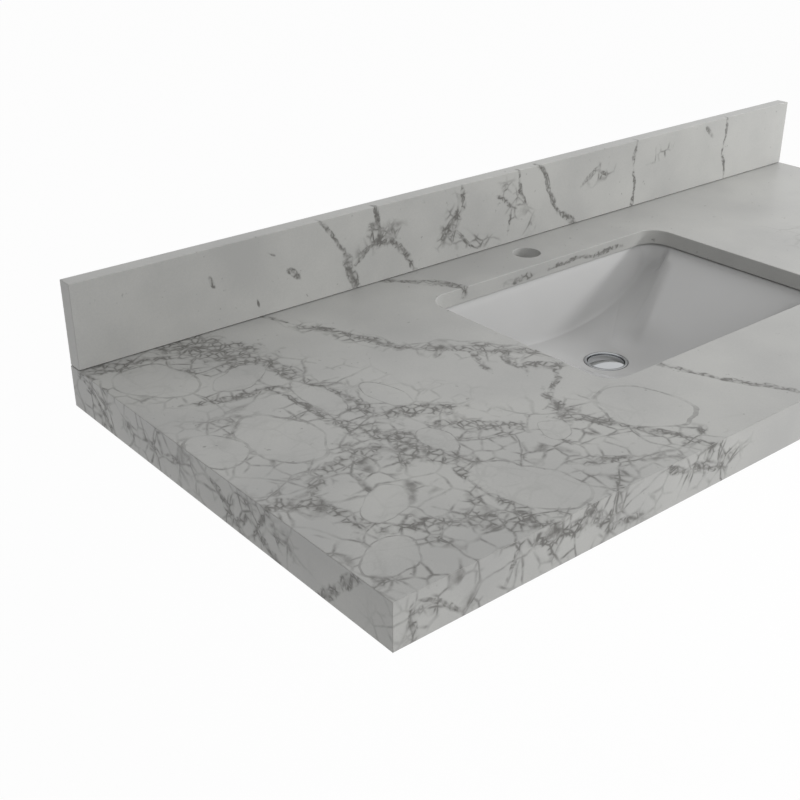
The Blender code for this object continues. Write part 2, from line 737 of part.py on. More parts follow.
washer_outline = [
    (WASHER_RADIUS, washer_foot),
    (WASHER_RADIUS, washer_foot + WASHER_THICKNESS),
    (stud_clear, washer_foot + WASHER_THICKNESS),
    (stud_clear, washer_foot),
]
at_each_clip("clip_washer", turned(washer_outline, 12), STEEL)

nut_foot = nut_top - WING_NUT_HEIGHT
nut_outline = [
    (stud_clear, nut_foot),
    (WING_NUT_RADIUS, nut_foot),
    (WING_NUT_RADIUS, nut_top),
    (stud_clear, nut_top),
]
wing_nuts = at_each_clip("clip_wing_nut", turned(nut_outline, 10), BRASS)
wing_root = (stud_clear + WING_NUT_RADIUS) / 2
wing_outline = [
    (wing_root, nut_top - WING_INSET),
    (WING_REACH, nut_foot + WING_NUT_HEIGHT / 2),
    (WING_REACH, nut_foot - WING_RISE),
    (wing_root, nut_foot + WING_INSET),
]
bm = bmesh.new()
for side in (1, -1):
    add_bent_bar(bm, [(side * y, z) for y, z in wing_outline], WING_THICKNESS)
join_each(wing_nuts, at_each_clip("wings", bm, BRASS), "UNION")

# Drain body: flange, dish that takes the cap, threaded tube with overflow windows, and a bridge in its bore
brim_round = FLANGE_BRIM / 2
dish_floor = -DISH_DEPTH - DISH_FALL
drain_outline = [
    (TUBE_BORE_RADIUS, -TUBE_LENGTH),
    (TUBE_RADIUS, -TUBE_LENGTH),
    (TUBE_RADIUS, dish_floor - DISH_WALL),
    (DISH_RADIUS + DISH_WALL, -DISH_DEPTH - DISH_WALL),
    (DISH_RADIUS + DISH_WALL, -FLANGE_BRIM),
    (FLANGE_RADIUS - brim_round, -FLANGE_BRIM),
    *arc((FLANGE_RADIUS - brim_round, -brim_round), brim_round, 0, 90, 2),
    *arc((DISH_RADIUS + DISH_LIP, -DISH_LIP), DISH_LIP, 90, 180, 2),
    (DISH_RADIUS, -DISH_DEPTH),
    (TUBE_BORE_RADIUS, dish_floor),
]
drain_body = add_object("drain_body", turned(drain_outline, 32), CHROME, DRAIN_PLACE)

arm_reach = (TUBE_RADIUS + TUBE_BORE_RADIUS) / 2
bridge_top = -BRIDGE_DROP
bridge_foot = bridge_top - BRIDGE_HEIGHT
bm = bmesh.new()
add_box(bm, (-arm_reach, -BRIDGE_ARM / 2, bridge_foot), (arm_reach, BRIDGE_ARM / 2, bridge_top))
long_arm = as_cutter(add_object("bridge_arm_across", bm, CHROME, DRAIN_PLACE))
join(drain_body, long_arm, "UNION")
bm = bmesh.new()
add_box(bm, (-BRIDGE_ARM / 2, -arm_reach, bridge_foot), (BRIDGE_ARM / 2, arm_reach, bridge_top))
deep_arm = as_cutter(add_object("bridge_arm_along", bm, CHROME, DRAIN_PLACE))
join(drain_body, deep_arm, "UNION")
bm = bmesh.new()
add_rod(bm, (0, 0, bridge_foot - BRIDGE_BOSS_STEP), BRIDGE_BOSS_RADIUS, BRIDGE_HEIGHT + BRIDGE_BOSS_STEP, 24)
boss = as_cutter(add_object("bridge_boss", bm, CHROME, DRAIN_PLACE))
join(drain_body, boss, "UNION")
bm = bmesh.new()
add_rod(bm, (0, 0, bridge_foot - OVERRUN), SPIGOT_RADIUS + SEAT_GAP, BRIDGE_HEIGHT + 2 * OVERRUN, 24)
boss_hole = as_cutter(add_object("bridge_hole_cutter", bm, CHROME, DRAIN_PLACE))
join(drain_body, boss_hole, "DIFFERENCE")
window_top = DRAIN_Z - RIM_Z + CHANNEL_ROOF
window_foot = window_top + CHANNEL_HEIGHT
for name, turn in (("window_cutter_across", 45), ("window_cutter_along", 135)):
    bm = bmesh.new()
    low = (-TUBE_RADIUS - OVERRUN, -WINDOW_WIDTH / 2, -window_foot)
    high = (TUBE_RADIUS + OVERRUN, WINDOW_WIDTH / 2, -window_top)
    add_box(bm, low, high)
    bmesh.ops.rotate(bm, verts=bm.verts, matrix=Matrix.Rotation(math.radians(turn), 3, "Z"))
    window = as_cutter(add_object(name, bm, CHROME, DRAIN_PLACE))
    join(drain_body, window, "DIFFERENCE")

# Rings and lock nut that draw the drain body down on the basin
gasket_top = -FLANGE_BRIM - SEAT_GAP
gasket_outline = [
    (flare_radius + SEAT_GAP, gasket_top - GASKET_THICKNESS),
    (FLANGE_RADIUS - SEAT_GAP, gasket_top - GASKET_THICKNESS),
    (FLANGE_RADIUS - SEAT_GAP, gasket_top),
    (flare_radius + SEAT_GAP, gasket_top),
]
add_object("flange_gasket", turned(gasket_outline, 24), RUBBER, DRAIN_PLACE)

ring_bore = TUBE_RADIUS + RING_CLEARANCE
cone_top = -BOSS_DROP - SEAT_GAP
cone_foot = cone_top - CONE_HEIGHT
cone_outline = [
    (ring_bore, cone_foot),
    (CONE_FOOT_RADIUS, cone_foot),
    (CONE_RADIUS, cone_top - CONE_EDGE),
    (CONE_RADIUS, cone_top),
    (ring_bore, cone_top),
]
add_object("cone_gasket", turned(cone_outline, 24), RUBBER, DRAIN_PLACE)

slip_top = cone_foot - SEAT_GAP
slip_foot = slip_top - SLIP_THICKNESS
slip_outline = [
    (ring_bore, slip_foot),
    (SLIP_RADIUS, slip_foot),
    (SLIP_RADIUS, slip_top),
    (ring_bore, slip_top),
]
add_object("friction_washer", turned(slip_outline, 24), ACETAL, DRAIN_PLACE)

lock_top = slip_foot - SEAT_GAP
bm = bmesh.new()
add_rod(bm, (0, 0, lock_top - NUT_HEIGHT), NUT_RADIUS, NUT_HEIGHT, 6)
lock_nut = add_object("lock_nut", bm, BRASS, DRAIN_PLACE)
bm = bmesh.new()
add_rod(bm, (0, 0, lock_top - NUT_HEIGHT - OVERRUN), ring_bore, NUT_HEIGHT + 2 * OVERRUN, 24)
nut_bore = as_cutter(add_object("nut_bore_cutter", bm, BRASS, DRAIN_PLACE))
join(lock_nut, nut_bore, "DIFFERENCE")

# Tailpiece, screwed into the drain body on a flat seal
seal_top = -TUBE_LENGTH - SEAT_GAP
shoulder_top = seal_top - TAIL_SEAL - SEAT_GAP
tail_top = shoulder_top - TAIL_SHOULDER
tail_foot = tail_top - TAIL_LENGTH
tail_bore = TAIL_RADIUS - TAIL_WALL
plug_radius = TUBE_BORE_RADIUS - RING_CLEARANCE
tail_outline = [
    (tail_bore, tail_foot),
    (TAIL_RADIUS, tail_foot),
    (TAIL_RADIUS, tail_top),
    (TUBE_RADIUS, tail_top),
    (TUBE_RADIUS, shoulder_top),
    (plug_radius, shoulder_top),
    (plug_radius, shoulder_top + TAIL_SEAL + TAIL_PLUG),
    (tail_bore, shoulder_top + TAIL_SEAL + TAIL_PLUG),
]
add_object("tailpiece", turned(tail_outline, 24), CHROME, DRAIN_PLACE)
tail_seal_outline = [
    (plug_radius + SEAT_GAP, seal_top - TAIL_SEAL),
    (TUBE_RADIUS - SEAT_GAP, seal_top - TAIL_SEAL),
    (TUBE_RADIUS - SEAT_GAP, seal_top),
    (plug_radius + SEAT_GAP, seal_top),
]
add_object("tailpiece_seal", turned(tail_seal_outline, 24), RUBBER, DRAIN_PLACE)

# Cartridge: a housing screwed into the bridge, with the spring that lifts the stopper
housing_top = -HOUSING_DROP
housing_seat = bridge_top + SEAT_GAP
spigot_foot = housing_seat - SPIGOT_LENGTH
bore_floor = spigot_foot + HOUSING_FLOOR
lip_bore = ROD_RADIUS + RING_CLEARANCE
housing_outline = [
    (VENT_RADIUS, spigot_foot),
    (SPIGOT_RADIUS, spigot_foot),
    (SPIGOT_RADIUS, housing_seat),
    (HOUSING_RADIUS, housing_seat),
    (HOUSING_RADIUS, housing_top),
    (lip_bore, housing_top),
    (lip_bore, housing_top - HOUSING_LIP),
    (HOUSING_BORE_RADIUS, housing_top - HOUSING_LIP),
    (HOUSING_BORE_RADIUS, bore_floor),
    (VENT_RADIUS, bore_floor),
]
add_object("cartridge_housing", turned(housing_outline, 16), ACETAL, DRAIN_PLACE)

# Stopper: cap, seal and plunger move together, up by the travel; modelled pushed down
collar_top = housing_top - HOUSING_LIP - STOPPER_TRAVEL - LATCH_SLACK
collar_foot = collar_top - COLLAR_HEIGHT
cap_edge_top = -CAP_DROP
cap_underside = cap_edge_top - CAP_EDGE
dome_radius = (CAP_RADIUS**2 + CAP_RISE**2) / (2 * CAP_RISE)
dome_centre = (0, cap_edge_top + CAP_RISE - dome_radius)
dome_angle = math.degrees(math.asin(CAP_RADIUS / dome_radius))
rod_hole = ROD_RADIUS + SEAT_GAP
rod_hole_top = cap_underside + ROD_THREAD
rib_foot = cap_underside - SEAL_THICKNESS / 2
rib_outer_radius = SEAL_INNER_RADIUS - SEAT_GAP
cap_outline = [
    *arc(dome_centre, dome_radius, 90, 90 - dome_angle, 6),
    (CAP_RADIUS, cap_underside),
    (rib_outer_radius, cap_underside),
    (rib_outer_radius, rib_foot),
    (rib_outer_radius - CAP_RIB, rib_foot),
    (rib_outer_radius - CAP_RIB, cap_underside),
    (CAP_BOSS_RADIUS, cap_underside),
    (CAP_BOSS_RADIUS, cap_underside - CAP_BOSS_LENGTH),
    (rod_hole, cap_underside - CAP_BOSS_LENGTH),
    (rod_hole, rod_hole_top),
    (0, rod_hole_top),
]
cap_outline[0] = (0, cap_outline[0][1])
stopper_cap = add_object("stopper_cap", turned(cap_outline, 32), CHROME, DRAIN_PLACE)

rubber_top = cap_underside - SEAT_GAP
seal_outline = [
    (SEAL_INNER_RADIUS, rubber_top - SEAL_THICKNESS),
    (SEAL_RADIUS, rubber_top - SEAL_THICKNESS),
    (SEAL_RADIUS, rubber_top),
    (SEAL_INNER_RADIUS, rubber_top),
]
add_object("stopper_seal", turned(seal_outline, 24), RUBBER, DRAIN_PLACE)

rod_outline = [
    (0, rod_hole_top - SEAT_GAP),
    (ROD_RADIUS, rod_hole_top - SEAT_GAP),
    (ROD_RADIUS, collar_top),
    (COLLAR_RADIUS, collar_top),
    (COLLAR_RADIUS, collar_foot),
    (0, collar_foot),
]
add_object("plunger", turned(rod_outline, 12), STEEL, DRAIN_PLACE)

spring_top = collar_foot - SEAT_GAP - SPRING_WIRE
spring_foot = bore_floor + SEAT_GAP + SPRING_WIRE
TURN_POINTS = 10
curve = bpy.data.curves.new("return_spring", "CURVE")
curve.dimensions = "3D"
curve.bevel_depth = SPRING_WIRE
curve.bevel_resolution = 1
curve.use_fill_caps = True
spline = curve.splines.new("POLY")
spring_points = SPRING_TURNS * TURN_POINTS
spline.points.add(spring_points)
for index, point in enumerate(spline.points):
    angle = math.tau * index / TURN_POINTS
    height = spring_foot + (spring_top - spring_foot) * index / spring_points
    point.co = (SPRING_RADIUS * math.cos(angle), SPRING_RADIUS * math.sin(angle), height, 1)
curve.materials.append(STEEL)
spring = bpy.data.objects.new("return_spring", curve)
spring.location = DRAIN_PLACE
bpy.context.scene.collection.objects.link(spring)
coil_gap = (spring_top - spring_foot) / SPRING_TURNS - 2 * SPRING_WIRE
print("least gap of the spring to itself, in metres:", round(coil_gap, 6))
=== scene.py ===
"""A stone vanity top with its undermount basin and its waste fitting, in the order of their assembly."""

from functools import partial
from math import asin, atan, atan2, cos, degrees, hypot, pi, radians, sin, sqrt, tan, tau

import bmesh
import bpy
import numpy as np
from bmesh import ops
from mathutils import Matrix, Vector


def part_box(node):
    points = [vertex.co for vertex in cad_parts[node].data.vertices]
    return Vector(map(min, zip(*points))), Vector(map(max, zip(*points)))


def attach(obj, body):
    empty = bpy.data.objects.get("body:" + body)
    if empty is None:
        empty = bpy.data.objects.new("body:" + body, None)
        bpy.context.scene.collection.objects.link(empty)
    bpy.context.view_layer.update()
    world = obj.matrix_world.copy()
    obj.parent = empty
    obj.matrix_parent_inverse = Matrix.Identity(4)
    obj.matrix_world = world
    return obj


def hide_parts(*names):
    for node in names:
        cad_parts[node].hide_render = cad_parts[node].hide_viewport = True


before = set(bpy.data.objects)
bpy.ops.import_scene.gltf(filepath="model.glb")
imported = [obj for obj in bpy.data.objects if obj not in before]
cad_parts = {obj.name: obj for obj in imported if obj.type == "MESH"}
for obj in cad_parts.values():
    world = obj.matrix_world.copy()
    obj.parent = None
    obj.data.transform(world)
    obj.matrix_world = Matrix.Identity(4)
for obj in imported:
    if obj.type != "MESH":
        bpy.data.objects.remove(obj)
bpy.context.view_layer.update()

# Slab: engineered marble, crushed stone and resin pressed into a plate 20 mm thick, then sawn and polished.
# Cracks between its pebbles are filled with grey resin. They draw a net of fine lines round cells of 25 to
# 60 mm, and belts of crumbs of 10 mm where the plate was crushed most. The ground is a light neutral grey.
PEBBLE, SMALL_PEBBLE, CRUMB = 0.056, 0.023, 0.0105
WANDER, WANDER_SPAN = 0.028, 0.055
RIPPLE, RIPPLE_SPAN = 0.0034, 0.012
NARROW = 0.0085
INTO_STONE = 0.013
GROUND_COLOUR, CLOUD_COLOUR, VEIN_COLOUR = "#b5b5b2", "#a8a8a6", "#656461"
PLATE_SHIFT = (0.31, 0.22, 0.17)
TOP, UNDER = 0.050, 0.030
CUTOUT_BACK = -0.094
X, Y, Z = range(3)


def lenses(axis, level, *rows):
    """Long lenses in a plane square to an axis, from rows in mm: two places in the plane and a half width."""
    found = []
    for row in rows:
        *places, half_width = [value / 1000 for value in row]
        start, end = places[:2], places[2:]
        start.insert(axis, level)
        end.insert(axis, level)
        found.append((start, end, half_width))
    return found


SLAB_BELTS = [
    *lenses(
        Z, TOP,
        (-520, -12, -478, -95, 34), (-478, -95, -463, -185, 14), (-640, -16, -575, -30, 11),
        (-575, -30, -535, -50, 9), (-565, -165, -500, -182, 8), (-505, -190, -499, -270, 6),
        (-499, -270, -472, -320, 11), (-459, -185, -450, -300, 7), (-450, -290, -390, -325, 15),
        (-480, -325, -450, -410, 22), (-560, -352, -500, -352, 14), (-415, -350, -360, -400, 13),
        (-458, -410, -462, -480, 10), (-462, -480, -470, -550, 11), (-640, -372, -604, -390, 10),
        (-604, -390, -587, -460, 10), (-587, -460, -520, -493, 10), (-520, -493, -475, -535, 14),
        (-405, -12, -380, -62, 4), (-380, -58, -356, -105, 6), (-356, -105, -320, -195, 7),
        (-320, -195, -278, -236, 7), (-278, -238, -222, -292, 8), (-278, -238, -290, -275, 6),
        (-247, -262, -262, -303, 7), (-262, -305, -225, -336, 9), (-222, -335, -290, -382, 4),
        (-290, -382, -312, -420, 8), (-312, -420, -272, -470, 6), (-272, -470, -240, -550, 6),
        (-360, -495, -325, -515, 7), (-213, -10, -177, -50, 7), (-177, -50, -148, -92, 8),
    ),
    *lenses(
        Y, CUTOUT_BACK,
        (-68, 40, -34, 38, 6), (16, 34, 70, 37, 4), (70, 37, 150, 35, 4),
    ),
    *lenses(
        Z, TOP,
        (-133, -396, -115, -460, 5), (-115, -460, -80, -535, 6), (300, -420, 360, -550, 9),
        (400, -250, 470, -350, 12), (470, -350, 560, -450, 24), (560, -450, 640, -520, 14),
    ),
]
SLAB_ZONES = lenses(
    Z, TOP,
    (-640, -20, -460, -180, 75), (-600, -250, -440, -300, 85), (-620, -420, -400, -420, 110),
    (-640, -520, -320, -520, 80), (-400, -440, -260, -440, 55), (-390, -40, -330, -180, 18),
    (-330, -180, -220, -300, 26), (-270, -470, -230, -560, 30), (400, -300, 600, -480, 90),
)
SLAB_PEBBLES = (
    (-585, -88, 52, 34, 110), (-512, -132, 34, 22, 40), (-476, -225, 44, 18, 82), (-415, -262, 38, 20, 100),
    (-620, -255, 40, 28, 100), (-555, -270, 60, 36, 95), (-440, -375, 26, 16, 100), (-552, -430, 32, 22, 20),
    (-430, -490, 60, 34, 110), (-335, -430, 17, 16, 0), (-600, -500, 34, 24, 20), (-230, -455, 52, 42, 120),
)


def linear(hex_colour):
    """An sRGB hex value as the linear colour that a shader takes."""
    channels = [int(hex_colour[i : i + 2], 16) / 255 for i in (1, 3, 5)]
    return (*[c / 12.92 if c <= 0.04045 else ((c + 0.055) / 1.055) ** 2.4 for c in channels], 1)


def feed(node, inputs):
    """Feeds a node's inputs, by name or in turn, with values, sockets or the first outputs of nodes."""
    for name, value in inputs.items() if isinstance(inputs, dict) else enumerate(inputs):
        if isinstance(value, bpy.types.Node):
            value = value.outputs[0]
        if isinstance(value, bpy.types.NodeSocket):
            node.id_data.links.new(value, node.inputs[name])
        else:
            node.inputs[name].default_value = value


def add_node(tree, kind, inputs=(), **settings):
    """Adds a node with its settings and what feeds it."""
    node = tree.nodes.new("ShaderNode" + kind)
    for name, value in settings.items():
        setattr(node, name, value)
    feed(node, inputs)
    return node


def new_material(name, **surface):
    """A material, its shader with plain values, what adds its nodes, and its Object coordinates."""
    material = bpy.data.materials.new(name)
    material.use_nodes = True
    shader = material.node_tree.nodes["Principled BSDF"]
    feed(shader, {socket.replace("_", " "): value for socket, value in surface.items()})
    add = partial(add_node, material.node_tree)
    return material, shader, add, add("TexCoord").outputs["Object"]


def polished_marble(name, shift, belts, zones, pebbles=()):
    """Engineered marble with a grey net that fades, dark crumbs in its belts, and a soft polished sheen."""
    material, shader, add, place = new_material(name, IOR=1.5)
    moved = add("VectorMath", (place, shift), operation="ADD")

    # Noises from the widest to the finest. Grit of 1.6 mm is coarser than the real grit, so that it shows.
    noises = []
    sizes = (0.120, WANDER_SPAN, 0.036, 0.014, RIPPLE_SPAN, 0.008, 0.0016)
    for size, detail in zip(sizes, (3, 1, 2, 2, 1, 2, 1)):
        noises.append(add("TexNoise", {"Vector": moved, "Scale": 1 / size, "Detail": detail}))
    clouds, wander, fitful, rags, ripple, knots, grit = noises

    # The cracks ripple by a few millimetres and wander by a centimetre
    courses = [moved]
    for texture, reach in ((ripple, RIPPLE), (wander, WANDER)):
        course = (texture.outputs["Color"], (reach,) * 3, courses[-1])
        courses.append(add("VectorMath", course, operation="MULTIPLY_ADD"))
    rippled, bent = courses[1:]
    offset = Vector(shift) + Vector((WANDER + RIPPLE,) * 3) / 2

    # Belts and zones are long lenses in the stone, each from one place to another, with a ragged skin. A
    # narrow belt is longer and reaches deeper, to join the next, and has a dark line in its middle.
    spine = None
    skins = []
    for group, ragged, amount, outer in ((belts, rags, 1.6, 2.05), (zones, fitful, 1.2, 1.85)):
        reach = None
        for start, end, half_width in group:
            run = Vector(end) - Vector(start)
            overlap = half_width * 2.5 if half_width < NARROW else half_width
            across = (half_width, max(half_width, INTO_STONE))
            lens = {
                "Vector": bent,
                "Location": (Vector(start) + Vector(end)) / 2 + offset,
                "Rotation": run.to_track_quat("X", "Z").to_euler(),
                "Scale": (run.length / 2 + overlap, *(across if start[Z] == end[Z] == TOP else across[::-1])),
            }
            lens = add("Mapping", lens, vector_type="TEXTURE")
            depth = add("VectorMath", (lens,), operation="LENGTH").outputs["Value"]
            reach = depth if reach is None else add("Math", (reach, depth), operation="MINIMUM")
            if half_width < NARROW:
                spine = depth if spine is None else add("Math", (spine, depth), operation="MINIMUM")
        skin = add("Math", (ragged, amount, reach), operation="MULTIPLY_ADD")
        skin = {"Value": skin, "From Min": outer, "From Max": outer - 0.6}
        skins.append(add("MapRange", skin, interpolation_type="SMOOTHSTEP"))
    core, near = skins
    spine = {"Value": spine, "From Min": 0.75, "From Max": 0.15, "To Max": 0.9}
    spine = add("MapRange", spine, interpolation_type="SMOOTHSTEP")

    # Cells of three sizes, with a soft line of resin between each and the next. The small ones are rounder.
    gaps = []
    lines = []
    cell_kinds = ((PEBBLE, 0.0025, bent), (SMALL_PEBBLE, 0.0025, rippled), (CRUMB, 0.0024, rippled))
    for size, width, course in cell_kinds:
        cells = {"Vector": course, "Scale": 1 / size, "Randomness": 0.85}
        cells = add("TexVoronoi", cells, feature="DISTANCE_TO_EDGE")
        gaps.append(add("Math", (cells, size), operation="MULTIPLY"))
        line = {"Value": gaps[-1], "From Min": width, "From Max": 0.0}
        lines.append(add("MapRange", line, interpolation_type="SMOOTHSTEP"))

    # How strongly each thing shows: the large net, the small one, crumbs at the knots of the net and how far
    # they reach from its lines, bloom where resin soaked in, blots along the lines, lone flecks, and sheen
    shown = []
    for value, *ends in (
        (fitful, 0.34, 0.56, 0.22, 0.95),
        (fitful, 0.42, 0.58, 0.0, 0.90),
        (fitful, 0.53, 0.60, 0.0, 1.0),
        (gaps[0], 0.008, 0.003, 0.0, 1.0),
        (gaps[2], 0.0048, 0.0, 0.0, 0.46),
        (knots, 0.32, 0.58, 0.42, 1.0),
        (knots, 0.715, 0.80, 0.0, 0.6),
        (clouds, 0.3, 0.7, 0.34, 0.42),
    ):
        ends = dict(zip(("From Min", "From Max", "To Min", "To Max"), ends))
        shown.append(add("MapRange", {"Value": value, **ends}))
    fits, small, crushed, band, bloom, blot, flecks, gloss = shown

    # The net fades in and out in its zones, and crumbs sit at its knots and fill the belts
    nets = []
    for net, line in ((fits, lines[0]), (small, lines[1])):
        for operation, other in (("MULTIPLY", near), ("MAXIMUM", core), ("MULTIPLY", line)):
            net = add("Math", (net, other), operation=operation)
        nets.append(net)
    large, small = nets
    for operation, other in (("MULTIPLY", near), ("MULTIPLY", band), ("MAXIMUM", core)):
        crushed = add("Math", (crushed, other), operation=operation)
    crumbs = add("Math", (crushed, lines[2]), operation="MULTIPLY")
    bloom = add("Math", (bloom, crushed), operation="MULTIPLY")
    veins = small
    for other in (crumbs, large, spine, bloom):
        veins = add("Math", (veins, other), operation="MAXIMUM")

    # Whole pebbles: plain inside, with an outline that fades in and out
    for x, y, half_long, half_wide, turn in pebbles:
        shell = {
            "Vector": bent,
            "Location": Vector((x / 1000, y / 1000, TOP)) + offset,
            "Rotation": (0, 0, radians(turn)),
            "Scale": (half_long / 1000, half_wide / 1000, 0.1),
        }
        shell = add("Mapping", shell, vector_type="TEXTURE")
        depth = add("VectorMath", (shell,), operation="LENGTH").outputs["Value"]
        outside = add("MapRange", {"Value": depth, "From Min": 0.90, "From Max": 1.0, "To Min": 0.15})
        outline = add("Math", (depth, 1.0, 0.035), operation="COMPARE")
        for factor in (fits, 0.65):
            outline = add("Math", (outline, factor), operation="MULTIPLY")
        veins = add("Math", (veins, outside), operation="MULTIPLY")
        veins = add("Math", (veins, outline), operation="MAXIMUM")
    veins = add("Math", (veins, blot), operation="MULTIPLY")
    shade = add("Math", (veins, flecks), operation="MAXIMUM", use_clamp=True)

    # A clouded ground under the veins; polished where it is seen, sawn and dull underneath
    mottle = add("Math", (grit, 0.25, clouds), operation="MULTIPLY_ADD")
    mottle = add("MapRange", {"Value": mottle, "From Min": 0.47, "From Max": 0.80})
    colour = linear(CLOUD_COLOUR)
    for amount, over in ((mottle, GROUND_COLOUR), (shade, VEIN_COLOUR)):
        colour = add("Mix", {0: amount, 6: colour, 7: linear(over)}, data_type="RGBA").outputs[2]
    upward = add("SeparateXYZ", {"Vector": add("NewGeometry").outputs["Normal"]}).outputs["Z"]
    sawn = add("Math", (upward, -0.9), operation="LESS_THAN")
    for amount, dulled in ((sawn, 0.35), (shade, 0.10)):
        gloss = add("Math", (amount, dulled, gloss), operation="MULTIPLY_ADD")
    relief = add("Math", (grit, sawn, rags), operation="MULTIPLY_ADD")
    relief = add("Bump", {"Strength": 0.06, "Distance": 0.0004, "Height": relief})
    feed(shader, {"Base Color": colour, "Roughness": gloss, "Normal": relief})
    return material


def cut_flat(bm, point, outwards):
    """Saws off what lies past a plane, and closes the cut."""
    geometry = bm.verts[:] + bm.edges[:] + bm.faces[:]
    cut = ops.bisect_plane(bm, geom=geometry, plane_co=point, plane_no=outwards, clear_outer=True, dist=1e-6)
    edges = [item for item in cut["geom_cut"] if isinstance(item, bmesh.types.BMEdge)]
    if edges:
        ops.contextual_create(bm, geom=edges)


def ease_edge(bm, edge, side, other):
    """Rounds the edge between two faces with seven cuts."""
    for step in range(1, 8):
        turn = radians(90 * step / 8)
        outwards = side * cos(turn) + other * sin(turn)
        cut_flat(bm, edge - (side + other) * EDGE_EASE + outwards * EDGE_EASE, outwards)


def rounded_rectangle(half_width, half_depth, radius, segments):
    """A flat face with round corners."""
    bm = bmesh.new()
    ops.create_grid(bm, x_segments=1, y_segments=1, size=1)
    ops.scale(bm, vec=(half_width, half_depth, 1), verts=bm.verts)
    round_off = {"offset": radius, "segments": segments, "profile": 0.5}
    ops.bevel(bm, geom=bm.verts[:], offset_type="OFFSET", affect="VERTICES", material=-1, **round_off)
    return bm


def turned(outline, steps):
    """A piece turned from an outline of (radius, height), closed unless both its ends lie on the axis."""
    bm = bmesh.new()
    points = [bm.verts.new((radius, 0, height)) for radius, height in outline]
    edges = [bm.edges.new(pair) for pair in zip(points, points[1:])]
    if outline[0][0] > 0:
        edges.append(bm.edges.new((points[-1], points[0])))
    about = {"cent": (0, 0, 0), "axis": (0, 0, 1), "angle": tau}
    ops.spin(bm, geom=points + edges, steps=steps, use_merge=True, **about)
    ops.remove_doubles(bm, verts=bm.verts, dist=1e-6)
    ops.recalc_face_normals(bm, faces=bm.faces)
    return bm


def rod(radius, foot, top, steps):
    """A plain turned rod."""
    return turned([(0, foot), (radius, foot), (radius, top), (0, top)], steps)


def arc(centre, radius, start, end, steps):
    """Points of an arc in an outline, from one angle in degrees to another."""
    angles = [radians(start + (end - start) * step / steps) for step in range(steps + 1)]
    return [(centre[0] + radius * cos(a), centre[1] + radius * sin(a)) for a in angles]


def as_mesh(name, bm, place=Matrix.Identity(4)):
    """Turns a bmesh into a mesh with its place in its vertices."""
    mesh = bpy.data.meshes.new(name)
    bm.to_mesh(mesh)
    bm.free()
    mesh.transform(place)
    return mesh


def in_scene(name, data):
    """A new object in the scene."""
    item = bpy.data.objects.new(name, data)
    bpy.context.scene.collection.objects.link(item)
    return item


def worked(blank, tools):
    """The mesh of a closed blank after closed tools have been joined to it or cut out of it, in turn."""
    helpers = []
    for number, (bm, operation) in enumerate([(blank, None), *tools]):
        ops.recalc_face_normals(bm, faces=bm.faces)
        helpers.append(in_scene(f"helper_{number}", as_mesh("helper", bm)))
        if operation:
            modifier = helpers[0].modifiers.new("tool", "BOOLEAN")
            modifier.operation = operation
            modifier.object = helpers[-1]
    bpy.context.view_layer.update()
    seen = helpers[0].evaluated_get(bpy.context.evaluated_depsgraph_get())
    mesh = bpy.data.meshes.new_from_object(seen)
    for helper in helpers:
        bpy.data.objects.remove(helper)
    return mesh


def dress(mesh, material):
    """Gives a mesh one material."""
    mesh.materials.clear()
    mesh.materials.append(material)


def finish_piece(name, mesh, material, slot, node=None, body="vanity_top", crisp=32, flats=False):
    """Shades a finished mesh, stands it in for its node and lets it ride on its body."""
    dress(mesh, material)
    mesh.shade_smooth()
    mesh.set_sharp_from_angle(angle=radians(crisp))
    piece = in_scene(name, mesh)
    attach(piece, body)
    if node:
        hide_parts(node)
    if flats:
        piece.modifiers.new("flats_first", "WEIGHTED_NORMAL").keep_sharp = True


def middle(node):
    """The middle of a node in plan."""
    low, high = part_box(node)
    return Vector(((low.x + high.x) / 2, (low.y + high.y) / 2, 0))


SIDE = 0.640
FRONT, BACK = -0.550, 0.010
GLUE = 0.0003
EDGE_EASE = 0.0012
CUTOUT_HALF_WIDTH, CUTOUT_HALF_DEPTH, CUTOUT_RADIUS, CUTOUT_EASE = 0.215, 0.151, 0.029, 0.0010
TOOL_PAST = 0.005
BASIN_Y = -0.245
FAUCET_Y, FAUCET_RADIUS, FAUCET_EASE = -0.053, 0.019, 0.0005
INSERT_RADIUS, INSERT_HOLE_TOP = 0.0045, 0.042
CLIPS = range(1, 7)

bm = bmesh.new()
ops.create_cube(bm, size=1)
ops.scale(bm, vec=(2 * SIDE, BACK - FRONT, TOP - UNDER), verts=bm.verts)
ops.translate(bm, vec=(0, (FRONT + BACK) / 2, (TOP + UNDER) / 2), verts=bm.verts)
up = Vector((0, 0, 1))
sides = (Vector((0, -1, 0)), Vector((-1, 0, 0)), Vector((1, 0, 0)))
for side in sides:
    edge = Vector((side.x * SIDE, FRONT, TOP))
    outwards = (side - up).normalized()
    cut_flat(bm, edge - outwards * GLUE / 2, outwards)
    ease_edge(bm, edge, side, up)
for side in sides[1:]:
    ease_edge(bm, Vector((side.x * SIDE, FRONT, TOP)), side, sides[0])

